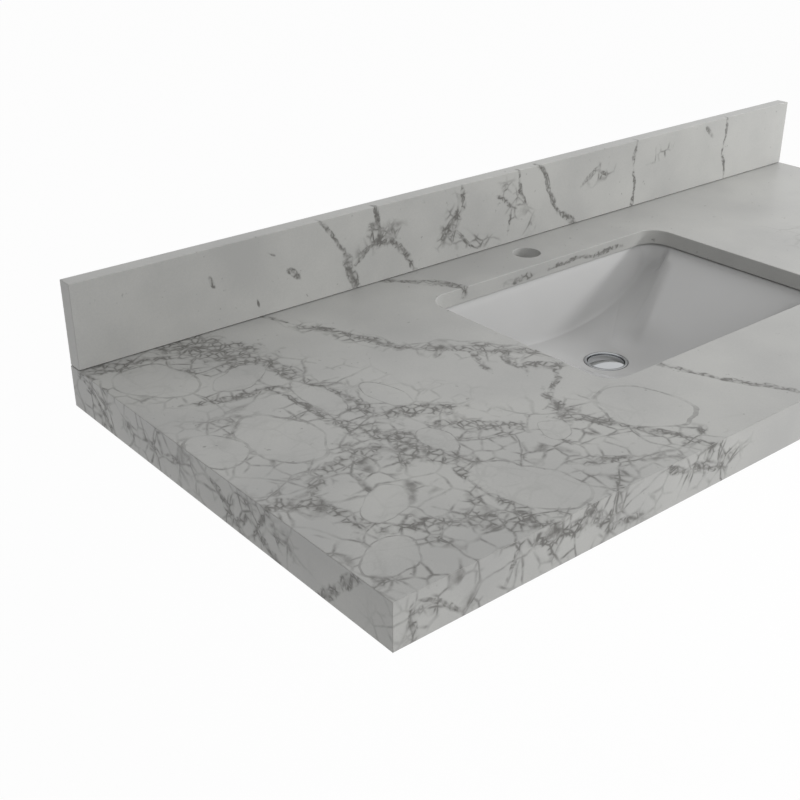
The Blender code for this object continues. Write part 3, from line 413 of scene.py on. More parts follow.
# The cut-out is milled, and its top edge is rounded by 1 mm; the other holes are drilled
half_sizes = (CUTOUT_HALF_WIDTH + CUTOUT_EASE, CUTOUT_HALF_DEPTH + CUTOUT_EASE)
cutout = rounded_rectangle(*half_sizes, CUTOUT_RADIUS + CUTOUT_EASE, 32)
ops.translate(cutout, vec=(0, BASIN_Y, TOP + TOOL_PAST), verts=cutout.verts)
face = cutout.faces[:][0]
cutout.faces.new([cutout.verts.new(vert.co) for vert in face.verts])
face = ops.extrude_discrete_faces(cutout, faces=[face])["faces"][0]
ops.translate(cutout, vec=(0, 0, -TOOL_PAST), verts=face.verts)
for step in range(1, 7):
    before, after = (radians(90 * s / 6) for s in (step - 1, step))
    run = CUTOUT_EASE * (sin(after) - sin(before))
    ops.inset_region(cutout, faces=[face], thickness=run, use_even_offset=True)
    for vert in face.verts:
        vert.co.z = TOP - CUTOUT_EASE * (1 - cos(after))
face = ops.extrude_discrete_faces(cutout, faces=[face])["faces"][0]
for vert in face.verts:
    vert.co.z = UNDER - TOOL_PAST
ops.remove_doubles(cutout, verts=cutout.verts, dist=1e-6)
faucet = [
    (0, UNDER - TOOL_PAST), (FAUCET_RADIUS, UNDER - TOOL_PAST),
    *arc((FAUCET_RADIUS + FAUCET_EASE, TOP - FAUCET_EASE), FAUCET_EASE, 180, 90, 4),
    (FAUCET_RADIUS + FAUCET_EASE, TOP + TOOL_PAST), (0, TOP + TOOL_PAST),
]
faucet = turned(faucet, 72)
ops.translate(faucet, vec=(0, FAUCET_Y, 0), verts=faucet.verts)
drills = [(cutout, "DIFFERENCE"), (faucet, "DIFFERENCE")]
for number in CLIPS:
    drill = rod(INSERT_RADIUS + GLUE, UNDER - TOOL_PAST, INSERT_HOLE_TOP, 24)
    ops.translate(drill, vec=middle(f"slab_insert_{number}"), verts=drill.verts)
    drills.append((drill, "DIFFERENCE"))
slab_marble = polished_marble("polished_marble_slab", PLATE_SHIFT, SLAB_BELTS, SLAB_ZONES, SLAB_PEBBLES)
slab = worked(bm, drills)
finish_piece("countertop_stone", slab, slab_marble, "marble", "countertop_slab", crisp=30, flats=True)

# Front and side aprons: strips of the same plate, 50 mm high, mitred to the slab and to each other and glued,
# so that the veins run on over the edge. Their own belts lie in the faces that they show.
APRON_BELTS = [
    *lenses(
        X, -SIDE,
        (-15, 45, -60, 22, 4), (-60, 22, -88, 0, 4), (-283, 30, -318, 10, 5), (-318, 10, -340, 26, 5),
        (-372, 50, -357, 20, 5), (-357, 20, -388, 6, 6), (-508, 50, -472, 22, 6), (-472, 22, -452, 0, 5),
    ),
    *lenses(
        Y, FRONT,
        (-622, 36, -625, 0, 4), (-612, 37, -566, 12, 3), (-515, 12, -494, 45, 4), (-494, 44, -430, 34, 8),
        (-425, 32, -402, 50, 4), (-405, 34, -385, 22, 9), (-390, 22, -338, 8, 5), (-294, 42, -283, 36, 6),
        (-258, 36, -226, 21, 3), (-226, 46, -219, 4, 3),
    ),
    *lenses(
        Z, TOP,
        (-455, -550, -470, -520, 12), (-240, -550, -250, -520, 8), (-70, -550, -85, -520, 6),
        (-640, -18, -610, -22, 12), (-640, -372, -610, -385, 10),
    ),
    *lenses(
        Y, FRONT,
        (360, 50, 375, 0, 6),
    ),
    *lenses(
        X, SIDE,
        (-520, 50, -480, 0, 8), (-200, 50, -270, 0, 6),
    ),
]
APRON_ZONES = [
    *lenses(
        X, -SIDE,
        (0, 30, -230, 30, 50), (-270, 20, -400, 20, 35),
    ),
    *lenses(
        Y, FRONT,
        (-600, 20, -350, 30, 60), (-270, 30, -210, 30, 30),
    ),
    *lenses(
        X, SIDE,
        (-550, 30, -400, 30, 50),
    ),
]


def merged_copy(node):
    """A node's own mesh with its loose triangles joined, so that round edges shade smooth."""
    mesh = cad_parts[node].data.copy()
    bm = bmesh.new()
    bm.from_mesh(mesh)
    ops.remove_doubles(bm, verts=bm.verts, dist=0.00001)
    ops.dissolve_limit(bm, angle_limit=radians(0.5), verts=bm.verts, edges=bm.edges)
    bm.to_mesh(mesh)
    bm.free()
    return mesh


apron_marble = polished_marble("polished_marble_apron", PLATE_SHIFT, APRON_BELTS, APRON_ZONES)
for node in ("front_apron", "left_apron", "right_apron"):
    finish_piece(f"{node}_stone", merged_copy(node), apron_marble, "marble", node, flats=True)

# Adhesive in the mitres: polyester resin tinted like the stone, a film 0.3 mm thick that is wiped off flush.
# It ends flush with the eased edges, so each mitre hardly shows.
FILM, FILM_RECESS = 0.00026, 0.00015
ADHESIVE_COLOUR = "#b6b5b1"


def grained(name, grain, tones=None, sheen=None, relief=None, skin=None, **surface):
    """A material whose grain mixes two tones, and makes its sheen and relief unless it has another skin."""
    material, shader, add, place = new_material(name, **surface)
    grain = add("TexNoise", {"Vector": place, **grain})
    if skin:
        kind, inputs, settings = skin
        skin = add(kind, {"Vector": place, **inputs}, **settings)
    if tones:
        tone = {0: grain, 6: linear(tones[0]), 7: linear(tones[1])}
        feed(shader, {"Base Color": add("Mix", tone, data_type="RGBA").outputs[2]})
    if sheen:
        ends = dict(zip(("From Min", "From Max", "To Min", "To Max"), sheen))
        feed(shader, {"Roughness": add("MapRange", {"Value": skin or grain, **ends})})
    if relief:
        strength, distance = relief
        bump = {"Strength": strength, "Distance": distance, "Height": skin or grain}
        feed(shader, {"Normal": add("Bump", bump)})
    return material


speckle = {"Scale": 1 / 0.004, "Detail": 2.0}
adhesive = grained("tinted_polyester_adhesive", speckle, (ADHESIVE_COLOUR, CLOUD_COLOUR), Roughness=0.4)
outer, inner = FILM_RECESS, TOP - UNDER
edges = [Vector((side * (SIDE - outer), FRONT + outer, TOP - outer)) for side in (-1, 1)]
roots = [Vector((side * (SIDE - inner), FRONT + inner, TOP - inner)) for side in (-1, 1)]
films = [(*edges, *roots[::-1])]
for edge, root in zip(edges, roots):
    films.append((edge, (edge.x, BACK, edge.z), (root.x, BACK, root.z), root))
    films.append((edge, (edge.x, edge.y, outer), (root.x, root.y, outer), root))
bm = bmesh.new()
for corners in films:
    film = bm.faces.new([bm.verts.new(corner) for corner in corners])
    film.normal_update()
    ops.translate(bm, verts=film.verts, vec=film.normal * FILM / 2)
    ops.solidify(bm, geom=[film], thickness=FILM)
ops.recalc_face_normals(bm, faces=bm.faces)
finish_piece("mitre_adhesive", as_mesh("mitre_adhesive", bm), adhesive, "marble")

# Rear support strip: an offcut of the plate, sawn on all sides and glued under the slab's back edge.
# It holds the top level on the cabinet's back rail.
dress(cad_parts["rear_support_strip"].data, apron_marble)

# Backsplash: a strip of the same stone, 20 mm thick and 100 mm high, cut from a quieter part of the plate.
# Its face, top and ends are polished, and it stands on the slab's back edge in a bed of sealant.
SPLASH_SHIFT = (0.85, 0.47, 0.61)
FACE = -0.010
SPLASH_BELTS = lenses(
    Y, FACE,
    (-306, 152, -274, 108, 4), (-274, 108, -254, 50, 6), (-226, 156, -226, 122, 4), (-232, 118, -214, 106, 9),
    (-230, 106, -256, 88, 4), (-214, 110, -168, 64, 5), (-83, 147, -89, 115, 4), (-89, 115, -106, 92, 6),
    (-100, 94, -46, 52, 3), (-14, 116, 16, 98, 5), (16, 98, 6, 70, 3), (66, 152, 86, 110, 5),
    (86, 110, 112, 74, 5), (112, 74, 138, 56, 6), (22, 152, 40, 100, 3), (263, 156, 262, 108, 4),
    (263, 104, 268, 48, 4),
    (476, 150, 478, 110, 3), (478, 108, 489, 52, 3), (-467, 112, -464, 106, 3), (-354, 95, -351, 90, 4),
    (-386, 128, -382, 126, 2), (-405, 74, -404, 70, 2), (436, 138, 440, 134, 4), (160, 112, 176, 120, 4),
    (188, 116, 198, 110, 3),
)
SPLASH_ZONES = lenses(
    Y, FACE,
    (-90, 130, -110, 80, 16), (-100, 80, -30, 60, 14), (0, 130, 40, 70, 22), (-250, 100, -190, 115, 16),
    (160, 115, 210, 115, 14), (300, 115, 340, 125, 12),
)
splash_marble = polished_marble("polished_marble_splash", SPLASH_SHIFT, SPLASH_BELTS, SPLASH_ZONES)
finish_piece("backsplash_stone", merged_copy("backsplash"), splash_marble, "marble", "backsplash", flats=True)

# Bedding under the backsplash, and the bead round the basin's rim: silicone sealant, squeezed to films of
# 0.6 mm and 1 mm. Both are set back from the stone's faces, so each shows as a fine dark line.
SILICONE_COLOURS = ("#413f3d", "#4c4b48")
skin = {"Scale": 1 / 0.003, "Detail": 3.0}
silicone = grained("cured_silicone", skin, SILICONE_COLOURS, relief=(0.3, 0.0003), Roughness=0.45, IOR=1.41)
for node in ("backsplash_sealant", "basin_sealant"):
    dress(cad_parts[node].data, silicone)

# Slab inserts: sleeves with an M6 thread, turned from brass bar and glued into blind holes under the slab.
# Turned brass is a warm yellow metal with fine rings from the tool and a little brown tarnish.
TARNISH_COLOUR, BRASS_COLOUR = "#a8854e", "#c9a468"
tarnish = {"Scale": 1 / 0.006, "Detail": 3.0}
rings = ("TexWave", {"Scale": 1 / 0.0016, "Distortion": 1.5, "Detail": 2.0}, {"bands_direction": "Z"})
brass = {"sheen": (0, 1, 0.22, 0.38), "relief": (0.15, 0.00005), "skin": rings}
brass = grained("turned_brass", tarnish, (TARNISH_COLOUR, BRASS_COLOUR), **brass, Metallic=1.0)
clip_places = []
for number, turn in zip(CLIPS, (0, 90, 90, 180, 270, 270)):
    stud = Matrix.Translation(middle(f"clip_stud_{number}"))
    clip_places.append(stud @ Matrix.Rotation(radians(turn), 4, "Z"))


def at_each_clip(name, mesh, material, slot, node):
    """Finishes a copy of a piece at each of the six clips."""
    for number, clip_place in zip(CLIPS, clip_places):
        copy = mesh.copy()
        copy.transform(clip_place)
        finish_piece(f"{name}_{number}", copy, material, slot, f"{node}_{number}")


low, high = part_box("slab_insert_1")
STUD_CLEAR, CHAMFER, INSERT_END = 0.0033, 0.0005, 0.002
outline = [
    (0, high.z), (INSERT_RADIUS - CHAMFER, high.z), (INSERT_RADIUS, high.z - CHAMFER),
    (INSERT_RADIUS, low.z + CHAMFER), (INSERT_RADIUS - CHAMFER, low.z), (STUD_CLEAR, low.z),
    (STUD_CLEAR, high.z - INSERT_END), (0, high.z - INSERT_END),
]
at_each_clip("threaded_insert", as_mesh("insert", turned(outline, 32)), brass, "brass", "slab_insert")

# Studs: M6 threaded rod of zinc-plated steel, 36 mm long, screwed up into the inserts.
# Bright zinc is a cool pale grey metal with a slight cloudy bloom.
STUD_CREST, STUD_ROOT, STUD_PITCH = 0.0030, 0.0025, 0.001
ZINC_BLOOM_COLOUR, ZINC_COLOUR = "#8f9297", "#b4b7bb"
bloom = {"Scale": 1 / 0.005, "Detail": 4.0, "Roughness": 0.65}
zinc = {"sheen": (0.3, 0.7, 0.28, 0.45), "Metallic": 1.0}
zinc = grained("zinc_plated_steel", bloom, (ZINC_BLOOM_COLOUR, ZINC_COLOUR), **zinc)
RIDGE_ROOT = 0.00005


def add_thread(bm, root, crest, pitch, foot, top, sides):
    """Winds a thread's ridge round an upright rod."""
    steps = round(((top - foot) / pitch - 1) * sides)
    corners = ((root - RIDGE_ROOT, -pitch / 2), (crest, 0), (root - RIDGE_ROOT, pitch / 2))
    thread = bmesh.new()
    points = [thread.verts.new((radius, 0, foot + pitch / 2 + height)) for radius, height in corners]
    along = {"dvec": (0, 0, pitch / sides), "angle": tau * steps / sides, "steps": steps}
    geometry = [thread.faces.new(points)]
    ops.spin(thread, geom=geometry, cent=(0, 0, 0), axis=(0, 0, 1), use_merge=False, **along)
    ops.recalc_face_normals(thread, faces=thread.faces)
    bm.from_mesh(as_mesh("thread", thread))


low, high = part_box("clip_stud_1")
taper = STUD_PITCH / 2
outline = [
    (0, low.z), (STUD_ROOT - taper, low.z), (STUD_ROOT, low.z + taper),
    (STUD_ROOT, high.z - taper), (STUD_ROOT - taper, high.z), (0, high.z),
]
bm = turned(outline, 24)
add_thread(bm, STUD_ROOT, STUD_CREST, STUD_PITCH, low.z + taper, high.z - taper, 16)
at_each_clip("threaded_stud", as_mesh("stud", bm), zinc, "zinc_steel", "clip_stud")

# Basin: vitreous china, slip-cast in one piece with its overflow and its drain boss, glazed white and fired.
# Long ramps fall from both ends, with a scoop behind the drain and one before it, inside steep walls. Glaze
# rounds every crease. The ground rim is pressed up against the slab's underside.
BOWL_HALF_WIDTH, BOWL_HALF_DEPTH, BOWL_RADIUS = 0.2165, 0.1525, 0.0305
BOWL_DEPTH, WALL_LEAN, WALL_FOOT = 0.084, radians(12), 0.023
RIM_WIDTH, RIM_THICKNESS, RIM_EASE, SHELL = 0.018, 0.011, 0.0012, 0.009
RAMP_ROUND = 0.030
SCOOP_TIP, SCOOP_POWER, SCOOP_FULLNESS = -0.017, 1.2, 0.62
DRAIN_BACK, DRAIN_FLOOR, DRAIN_BLEND = 0.0375, 0.0852, 0.060
RECESS_RADIUS, RECESS_FLOOR, RECESS_EASE, RECESS_DROP, RECESS_DRAFT = 0.0296, -0.0884, 0.0003, 0.0004, 0.0005
FLARE_RADIUS, FLARE_TOP, FLARE_FOOT, HOLE_RADIUS, HOLE_EASE = 0.0256, 0.0038, 0.0068, 0.0227, 0.001
BOSS_RADIUS, BOSS_UNDERSIDE, BOSS_EASE, BOSS_CORNER = 0.0375, 0.1097, 0.0015, 0.0004
CREASE = RING_STEP = 0.0042
OVERFLOW_RADIUS, OVERFLOW_DROP = 0.010, 0.030
CHANNEL_WIDTH, CHANNEL_HEIGHT, CHANNEL_COVER, CHANNEL_SLOPE, CHANNEL_GAP = 0.020, 0.009, 0.005, 0.018, 0.0005
RIB_ROOT, RIB_ROUND, RIB_INTO_RIM, RIB_BELOW_FLOOR = 0.0018, 0.0008, 0.0003, 0.0009
basin_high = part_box("basin")[1]


def inside_by(x, y):
    """How far inside the bowl's opening each place in plan lies."""
    past_x = np.abs(x) - (BOWL_HALF_WIDTH - BOWL_RADIUS)
    past_y = np.abs(y) - (BOWL_HALF_DEPTH - BOWL_RADIUS)
    corner = np.hypot(np.maximum(past_x, 0), np.maximum(past_y, 0))
    return BOWL_RADIUS - corner - np.minimum(np.maximum(past_x, past_y), 0)


def ramp_height(x):
    """Height of the ramps, whose foot is rounded where they meet."""
    steepness = BOWL_DEPTH / (hypot(BOWL_HALF_WIDTH, RAMP_ROUND) - RAMP_ROUND)
    return steepness * (np.hypot(x, RAMP_ROUND) - RAMP_ROUND) - BOWL_DEPTH


def cast_height(x, y):
    """Height of the bowl's inside over places in plan, before its creases are rounded."""
    inside = inside_by(x, y)
    corner_y = np.copysign(BOWL_HALF_DEPTH - BOWL_RADIUS, y - SCOOP_TIP)
    run = np.clip((y - SCOOP_TIP) / (corner_y - SCOOP_TIP), 0, 1)
    scoop = np.maximum(BOWL_HALF_WIDTH * run**SCOOP_POWER, 1e-9)
    lip = ramp_height(scoop)
    across = np.clip(1 - (x / scoop) ** 2, 0, 1)
    fullness = 1 - (1 - SCOOP_FULLNESS) * run
    floor = np.where(np.abs(x) < scoop, lip - (BOWL_DEPTH + lip) * across**fullness, ramp_height(x))
    level = np.clip((np.hypot(x, y - DRAIN_BACK) - RECESS_RADIUS) / DRAIN_BLEND, 0, 1)
    level = level * level * (3 - 2 * level)
    floor = floor * level - DRAIN_FLOOR * (1 - level)
    wall = -inside / tan(WALL_LEAN)
    return np.where(inside > 0, np.maximum(floor, wall), 0)


def disc(radius, circles, share):
    """Places all over a disc, ring by ring, each with its distance from the middle."""
    yield 0, 0, 0
    for circle in range(1, circles + 1):
        reach = radius * circle / circles
        for step in range(share * circle):
            angle = tau * step / (share * circle)
            yield reach * cos(angle), reach * sin(angle), reach


def glazed_height(x, y):
    """The inside as fired: each crease rounded by averaging over a small disc."""
    over = [cast_height(x + dx, y + dy) for dx, dy, _ in disc(CREASE, 3, 8)]
    return sum(over) / len(over)


def underside_height(x, y):
    """The outside of the shell, its thickness measured square to the inside."""
    lowest = np.full(x.shape, -RIM_THICKNESS)
    for dx, dy, reach in disc(SHELL, 6, 6):
        height = cast_height(x + dx, y + dy) - sqrt(max(SHELL**2 - reach**2, 0))
        lowest = np.where(inside_by(x + dx, y + dy) > 0, np.minimum(lowest, height), lowest)
    return lowest


def bowl_skin(rims, drain_rings, height_of, band, wall_rings, floor_rings):
    """One skin of the basin: a rounded rectangle, inset ring by ring, then drawn in to the drain's hole."""
    rim = rims[0]
    bm = rounded_rectangle(BOWL_HALF_WIDTH + rim, BOWL_HALF_DEPTH + rim, BOWL_RADIUS + rim, 28)
    for edge in list(bm.edges):
        if edge.calc_length() > BOWL_RADIUS:
            ops.bisect_edges(bm, edges=[edge], cuts=round(edge.calc_length() / RING_STEP))
    inner = bm.faces[:][0]
    offsets = list(rims)
    for step in range(1, wall_rings + 1):
        offsets.append(rims[-1] - (rims[-1] + band) * step / wall_rings)
    for before, after in zip(offsets, offsets[1:]):
        ops.inset_region(bm, faces=[inner], thickness=before - after, use_even_offset=True)
    starts = [vert.co.copy() for vert in inner.verts]
    for step in range(1, floor_rings + 1):
        inner = ops.extrude_discrete_faces(bm, faces=[inner])["faces"][0]
        for vert, start in zip(inner.verts, starts):
            away = Vector((start.x, start.y - DRAIN_BACK))
            away *= 1 + (drain_rings[0][0] / away.length - 1) * step / floor_rings
            vert.co = (away.x, away.y + DRAIN_BACK, 0)
    flat = np.array([vert.co[:2] for vert in bm.verts])
    for vert, height in zip(bm.verts, height_of(flat[:, 0], flat[:, 1])):
        vert.co.z = height
    for radius, height in drain_rings[1:]:
        inner = ops.extrude_discrete_faces(bm, faces=[inner])["faces"][0]
        for vert in inner.verts:
            away = Vector((vert.co.x, vert.co.y - DRAIN_BACK)).normalized() * radius
            vert.co = (away.x, away.y + DRAIN_BACK, height)
    ops.delete(bm, geom=[inner], context="FACES_ONLY")
    return bm


drain_rings = (
    (RECESS_RADIUS, 0), (RECESS_RADIUS - RECESS_EASE, -DRAIN_FLOOR - RECESS_DROP),
    (RECESS_RADIUS - RECESS_DRAFT, RECESS_FLOOR), (FLARE_RADIUS, RECESS_FLOOR),
    (FLARE_RADIUS, RECESS_FLOOR - FLARE_TOP), (HOLE_RADIUS, RECESS_FLOOR - FLARE_FOOT),
    (HOLE_RADIUS, -BOSS_UNDERSIDE + HOLE_EASE),
)
rims = (RIM_WIDTH, RIM_WIDTH - RIM_EASE, CREASE)
bm = bowl_skin(rims, drain_rings, glazed_height, band=0.022, wall_rings=34, floor_rings=84)
for vert in bm.verts:
    if inside_by(vert.co.x, vert.co.y) < 0.0004 - RIM_WIDTH:
        vert.co.z = -RIM_EASE

# The glaze lies thickest along the creases of the floor
floor_verts = []
for vert in bm.verts:
    from_drain = hypot(vert.co.x, vert.co.y - DRAIN_BACK)
    if inside_by(vert.co.x, vert.co.y) > WALL_FOOT and from_drain > RECESS_RADIUS + 0.004:
        floor_verts.append(vert)
for _ in range(40):
    ops.smooth_vert(bm, verts=floor_verts, factor=0.5, use_axis_z=True)
boss_rings = (
    (BOSS_RADIUS, 0), (BOSS_RADIUS, -BOSS_UNDERSIDE + BOSS_EASE),
    (BOSS_RADIUS - BOSS_CORNER, -BOSS_UNDERSIDE + BOSS_CORNER),
    (BOSS_RADIUS - BOSS_EASE, -BOSS_UNDERSIDE), (HOLE_RADIUS + HOLE_EASE, -BOSS_UNDERSIDE),
)
rims = (RIM_WIDTH, SHELL)
under = bowl_skin(rims, boss_rings, underside_height, band=WALL_FOOT, wall_rings=24, floor_rings=60)
hidden = [vert for vert in under.verts if inside_by(vert.co.x, vert.co.y) > 0 and not vert.is_boundary]
for _ in range(8):
    ops.smooth_vert(under, verts=hidden, factor=0.5, use_axis_z=True)
bm.from_mesh(as_mesh("underside", under))
for above in (True, False):
    ends = [edge for edge in bm.edges if edge.is_boundary]
    ops.bridge_loops(bm, edges=[edge for edge in ends if (edge.verts[0].co.z > -BOWL_DEPTH / 2) == above])


def front_wall(depth, thickness):
    """A point on the front wall's inside at a depth, or on a line that lies that much further out."""
    return -BOWL_HALF_DEPTH + depth * tan(WALL_LEAN) - thickness / cos(WALL_LEAN), -depth


def drawn_out(bm, vec):
    """Draws a flat face out into a closed solid."""
    pushed = ops.extrude_face_region(bm, geom=bm.faces[:])["geom"]
    verts = [item for item in pushed if isinstance(item, bmesh.types.BMVert)]
    ops.translate(bm, verts=verts, vec=vec)
    ops.recalc_face_normals(bm, faces=bm.faces)


def bent_bar(outline, width, rounding, turn=0):
    """A bar across X with an outline in (y, z) and rounded edges, turned about Z."""
    bar = bmesh.new()
    bar.faces.new([bar.verts.new((-width / 2, y, z)) for y, z in outline])
    drawn_out(bar, (width, 0, 0))
    sharp = [edge for edge in bar.edges if edge.is_manifold and edge.calc_face_angle() > radians(25)]
    rounded = {"offset": rounding, "segments": 3, "profile": 0.5, "clamp_overlap": True}
    ops.bevel(bar, geom=sharp, offset_type="OFFSET", affect="EDGES", material=-1, **rounded)
    if turn:
        ops.rotate(bar, verts=bar.verts, matrix=Matrix.Rotation(radians(turn), 3, "Z"))
    return bar


# The overflow runs from a round hole in the front wall down a channel in a moulded rib to the drain
channel_roof = DRAIN_FLOOR + SHELL + CHANNEL_GAP
channel_bed = channel_roof + CHANNEL_HEIGHT
rib_outer = SHELL + CHANNEL_HEIGHT + CHANNEL_COVER
rib_top = RIM_THICKNESS - RIB_INTO_RIM
rib_bed = DRAIN_FLOOR + RIB_BELOW_FLOOR
rib_end = DRAIN_BACK - (RECESS_RADIUS + BOSS_RADIUS) / 2
rib = [
    front_wall(rib_top, RIB_ROOT), front_wall(rib_bed, RIB_ROOT),
    (rib_end, -rib_bed), (rib_end, -channel_bed - CHANNEL_COVER),
    front_wall(channel_bed + CHANNEL_COVER, rib_outer), front_wall(rib_top + CHANNEL_SLOPE, rib_outer),
    front_wall(rib_top, SHELL),
]
channel_top = OVERFLOW_DROP - OVERFLOW_RADIUS
channel_end = DRAIN_BACK - HOLE_RADIUS / 2
channel = [
    front_wall(channel_top, SHELL + CHANNEL_GAP), front_wall(channel_roof, SHELL + CHANNEL_GAP),
    (channel_end, -channel_roof), (channel_end, -channel_bed),
    front_wall(channel_bed, SHELL + CHANNEL_HEIGHT),
    front_wall(channel_top + CHANNEL_SLOPE, SHELL + CHANNEL_HEIGHT),
]
near_y = front_wall(OVERFLOW_DROP, -OVERFLOW_RADIUS)[0]
far_y = front_wall(OVERFLOW_DROP, SHELL + CHANNEL_HEIGHT / 2)[0]
hole = rod(OVERFLOW_RADIUS, 0, near_y - far_y, 64)
ops.rotate(hole, verts=hole.verts, matrix=Matrix.Rotation(pi / 2, 3, "X"))
ops.translate(hole, verts=hole.verts, vec=(0, near_y, -OVERFLOW_DROP))
tools = [
    (bent_bar(rib, CHANNEL_WIDTH + 2 * CHANNEL_COVER, RIB_ROUND), "UNION"),
    (bent_bar(channel, CHANNEL_WIDTH, RIB_ROUND), "DIFFERENCE"),
    (hole, "DIFFERENCE"),
]
mesh = worked(bm, tools)
mesh.transform(Matrix.Translation((0, BASIN_Y, basin_high.z)))

GLAZE_THIN_COLOUR, GLAZE_COLOUR = "#bdbdbc", "#c2c2c2"
thin = {"Scale": 1 / 0.090, "Detail": 3.0}
ripple = ("TexNoise", {"Scale": 1 / 0.007, "Detail": 2.0}, {})
china = {"relief": (0.03, 0.0003), "skin": ripple, "IOR": 1.5, "Roughness": 0.16, "Specular_IOR_Level": 0.30}
china = grained("glazed_vitreous_china", thin, (GLAZE_THIN_COLOUR, GLAZE_COLOUR), **china)
finish_piece("glazed_basin", mesh, china, "ceramic", "basin", crisp=50)

# Basin clips: zinc-plated steel strip, 20 mm wide and 2 mm thick, bent up at its heel, with a stud hole.
# The toe presses on the underside of the basin's rim, and the heel stands on the slab.
CLIP_WIDTH, CLIP_STRIP, CLIP_BEND, CLIP_ROUND = 0.020, 0.002, 0.0030, 0.0003
low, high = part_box("basin_clip_1")
stud_x = clip_places[0].translation.x
toe, heel = low.x - stud_x, high.x - stud_x
bend = (heel - CLIP_BEND, low.z + CLIP_BEND)
outline = [
    (toe, low.z), *arc(bend, CLIP_BEND, -90, 0, 8), (heel, high.z), (heel - CLIP_STRIP, high.z),
    *arc(bend, CLIP_BEND - CLIP_STRIP, 0, -90, 5), (toe, low.z + CLIP_STRIP),
]
clip = bent_bar(outline, CLIP_WIDTH, CLIP_ROUND, turn=-90)
drill = rod(STUD_CLEAR, 0, low.z + 2 * CLIP_STRIP, 40)
at_each_clip("bent_clip", worked(clip, [(drill, "DIFFERENCE")]), zinc, "zinc_steel", "basin_clip")

# Clip washers: stamped from the same plated steel, 15 mm across and 1.2 mm thick, with one edge rounded by
# the punch. They spread the nuts' pressure over the clips' holes.
WASHER_RADIUS, PUNCH_ROUND = 0.0075, 0.0004
low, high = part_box("clip_washer_1")
punched = arc((WASHER_RADIUS - PUNCH_ROUND, low.z + PUNCH_ROUND), PUNCH_ROUND, -90, 0, 4)
bm = turned([(STUD_CLEAR, low.z), *punched, (WASHER_RADIUS, high.z), (STUD_CLEAR, high.z)], 48)
at_each_clip("stamped_washer", as_mesh("washer", bm), zinc, "zinc_steel", "clip_washer")

# Wing nuts: brass castings with an M6 thread, a tapered hub 11 mm across and two wings that spread to 26 mm.
# They are turned by hand, so their wings are rounded all round.
HUB_RADIUS, HUB_HEIGHT, HUB_TAPER, HUB_ROUND = 0.0055, 0.006, 0.0004, 0.0005
WING_ROOT, WING_TIP, WING_THICKNESS, WING_ROUND, WING_INSET = 0.0044, 0.0128, 0.0018, 0.0022, 0.0010
WING_RISE, WING_END, WING_EDGE = 0.0028, 0.0001, 0.0005
low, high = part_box("clip_wing_nut_1")
top, foot = high.z, high.z - HUB_HEIGHT
outline = [
    (STUD_CLEAR, foot),
    *arc((HUB_RADIUS - HUB_TAPER - HUB_ROUND, foot + HUB_ROUND), HUB_ROUND, -90, 0, 4),
    *arc((HUB_RADIUS - HUB_ROUND, top - HUB_ROUND), HUB_ROUND, 0, 90, 4),
    (STUD_CLEAR, top),
]
hub = turned(outline, 48)
upper_tip, lower_tip = foot + WING_RISE, low.z + WING_END
outline = [
    (WING_ROOT, top - WING_INSET),
    *arc((WING_TIP - WING_ROUND, upper_tip - WING_ROUND), WING_ROUND, 60, 0, 6),
    *arc((WING_TIP - WING_ROUND, lower_tip + WING_ROUND), WING_ROUND, 0, -120, 9),
    (WING_ROOT, foot + WING_INSET),
]
wings = []
for side in (1, -1):
    wings.append((bent_bar([(side * y, z) for y, z in outline], WING_THICKNESS, WING_EDGE), "UNION"))
at_each_clip("wing_nut", worked(hub, wings), brass, "brass", "clip_wing_nut")

# Drain body: cast brass, turned, polished and chrome-plated, 57 mm across its flange. Its dish takes the
# cap, its tube has four windows for the overflow's water, and a bridge in its bore holds the cartridge.
# Chrome is a bright cool metal that mirrors the white basin, with the faintest polishing swirls.
CHROME_COLOUR = "#b9bbbd"
swirl = {"Scale": 1 / 0.004, "Detail": 3.0, "Distortion": 1.0}
chrome = {"sheen": (0.3, 0.7, 0.05, 0.09), "relief": (0.02, 0.0002), "Base_Color": linear(CHROME_COLOUR)}
chrome = grained("polished_chrome_plate", swirl, **chrome, Metallic=1.0)
FLANGE_OUTER, BRIM = 0.0286, 0.0018
DISH_RADIUS, DISH_DEPTH, DISH_FALL = 0.0247, 0.0046, 0.0018
DISH_WALL, DISH_LIP, DISH_FILLET = 0.0006, 0.0010, 0.0014
TUBE_CREST, TUBE_ROOT, TUBE_PITCH = 0.02095, 0.0201, 0.0016
TUBE_BORE, TUBE_FOOT, BORE_ROUND = 0.0184, -0.058, 0.0008
THREAD_TOP, THREAD_FIT, TUBE_CHAMFER = -0.0262, 0.0004, 0.0005
DRAIN_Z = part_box("drain_body")[1].z
drain_place = Matrix.Translation((0, BASIN_Y + DRAIN_BACK, DRAIN_Z))


def on_drain(name, bm, material, slot, node, **settings):
    """Finishes a piece that is built on the drain's axis."""
    finish_piece(name, as_mesh(node, bm, drain_place), material, slot, node, **settings)


def heights(node):
    """Where a node starts and ends, measured from the flange's top."""
    low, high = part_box(node)
    return low.z - DRAIN_Z, high.z - DRAIN_Z


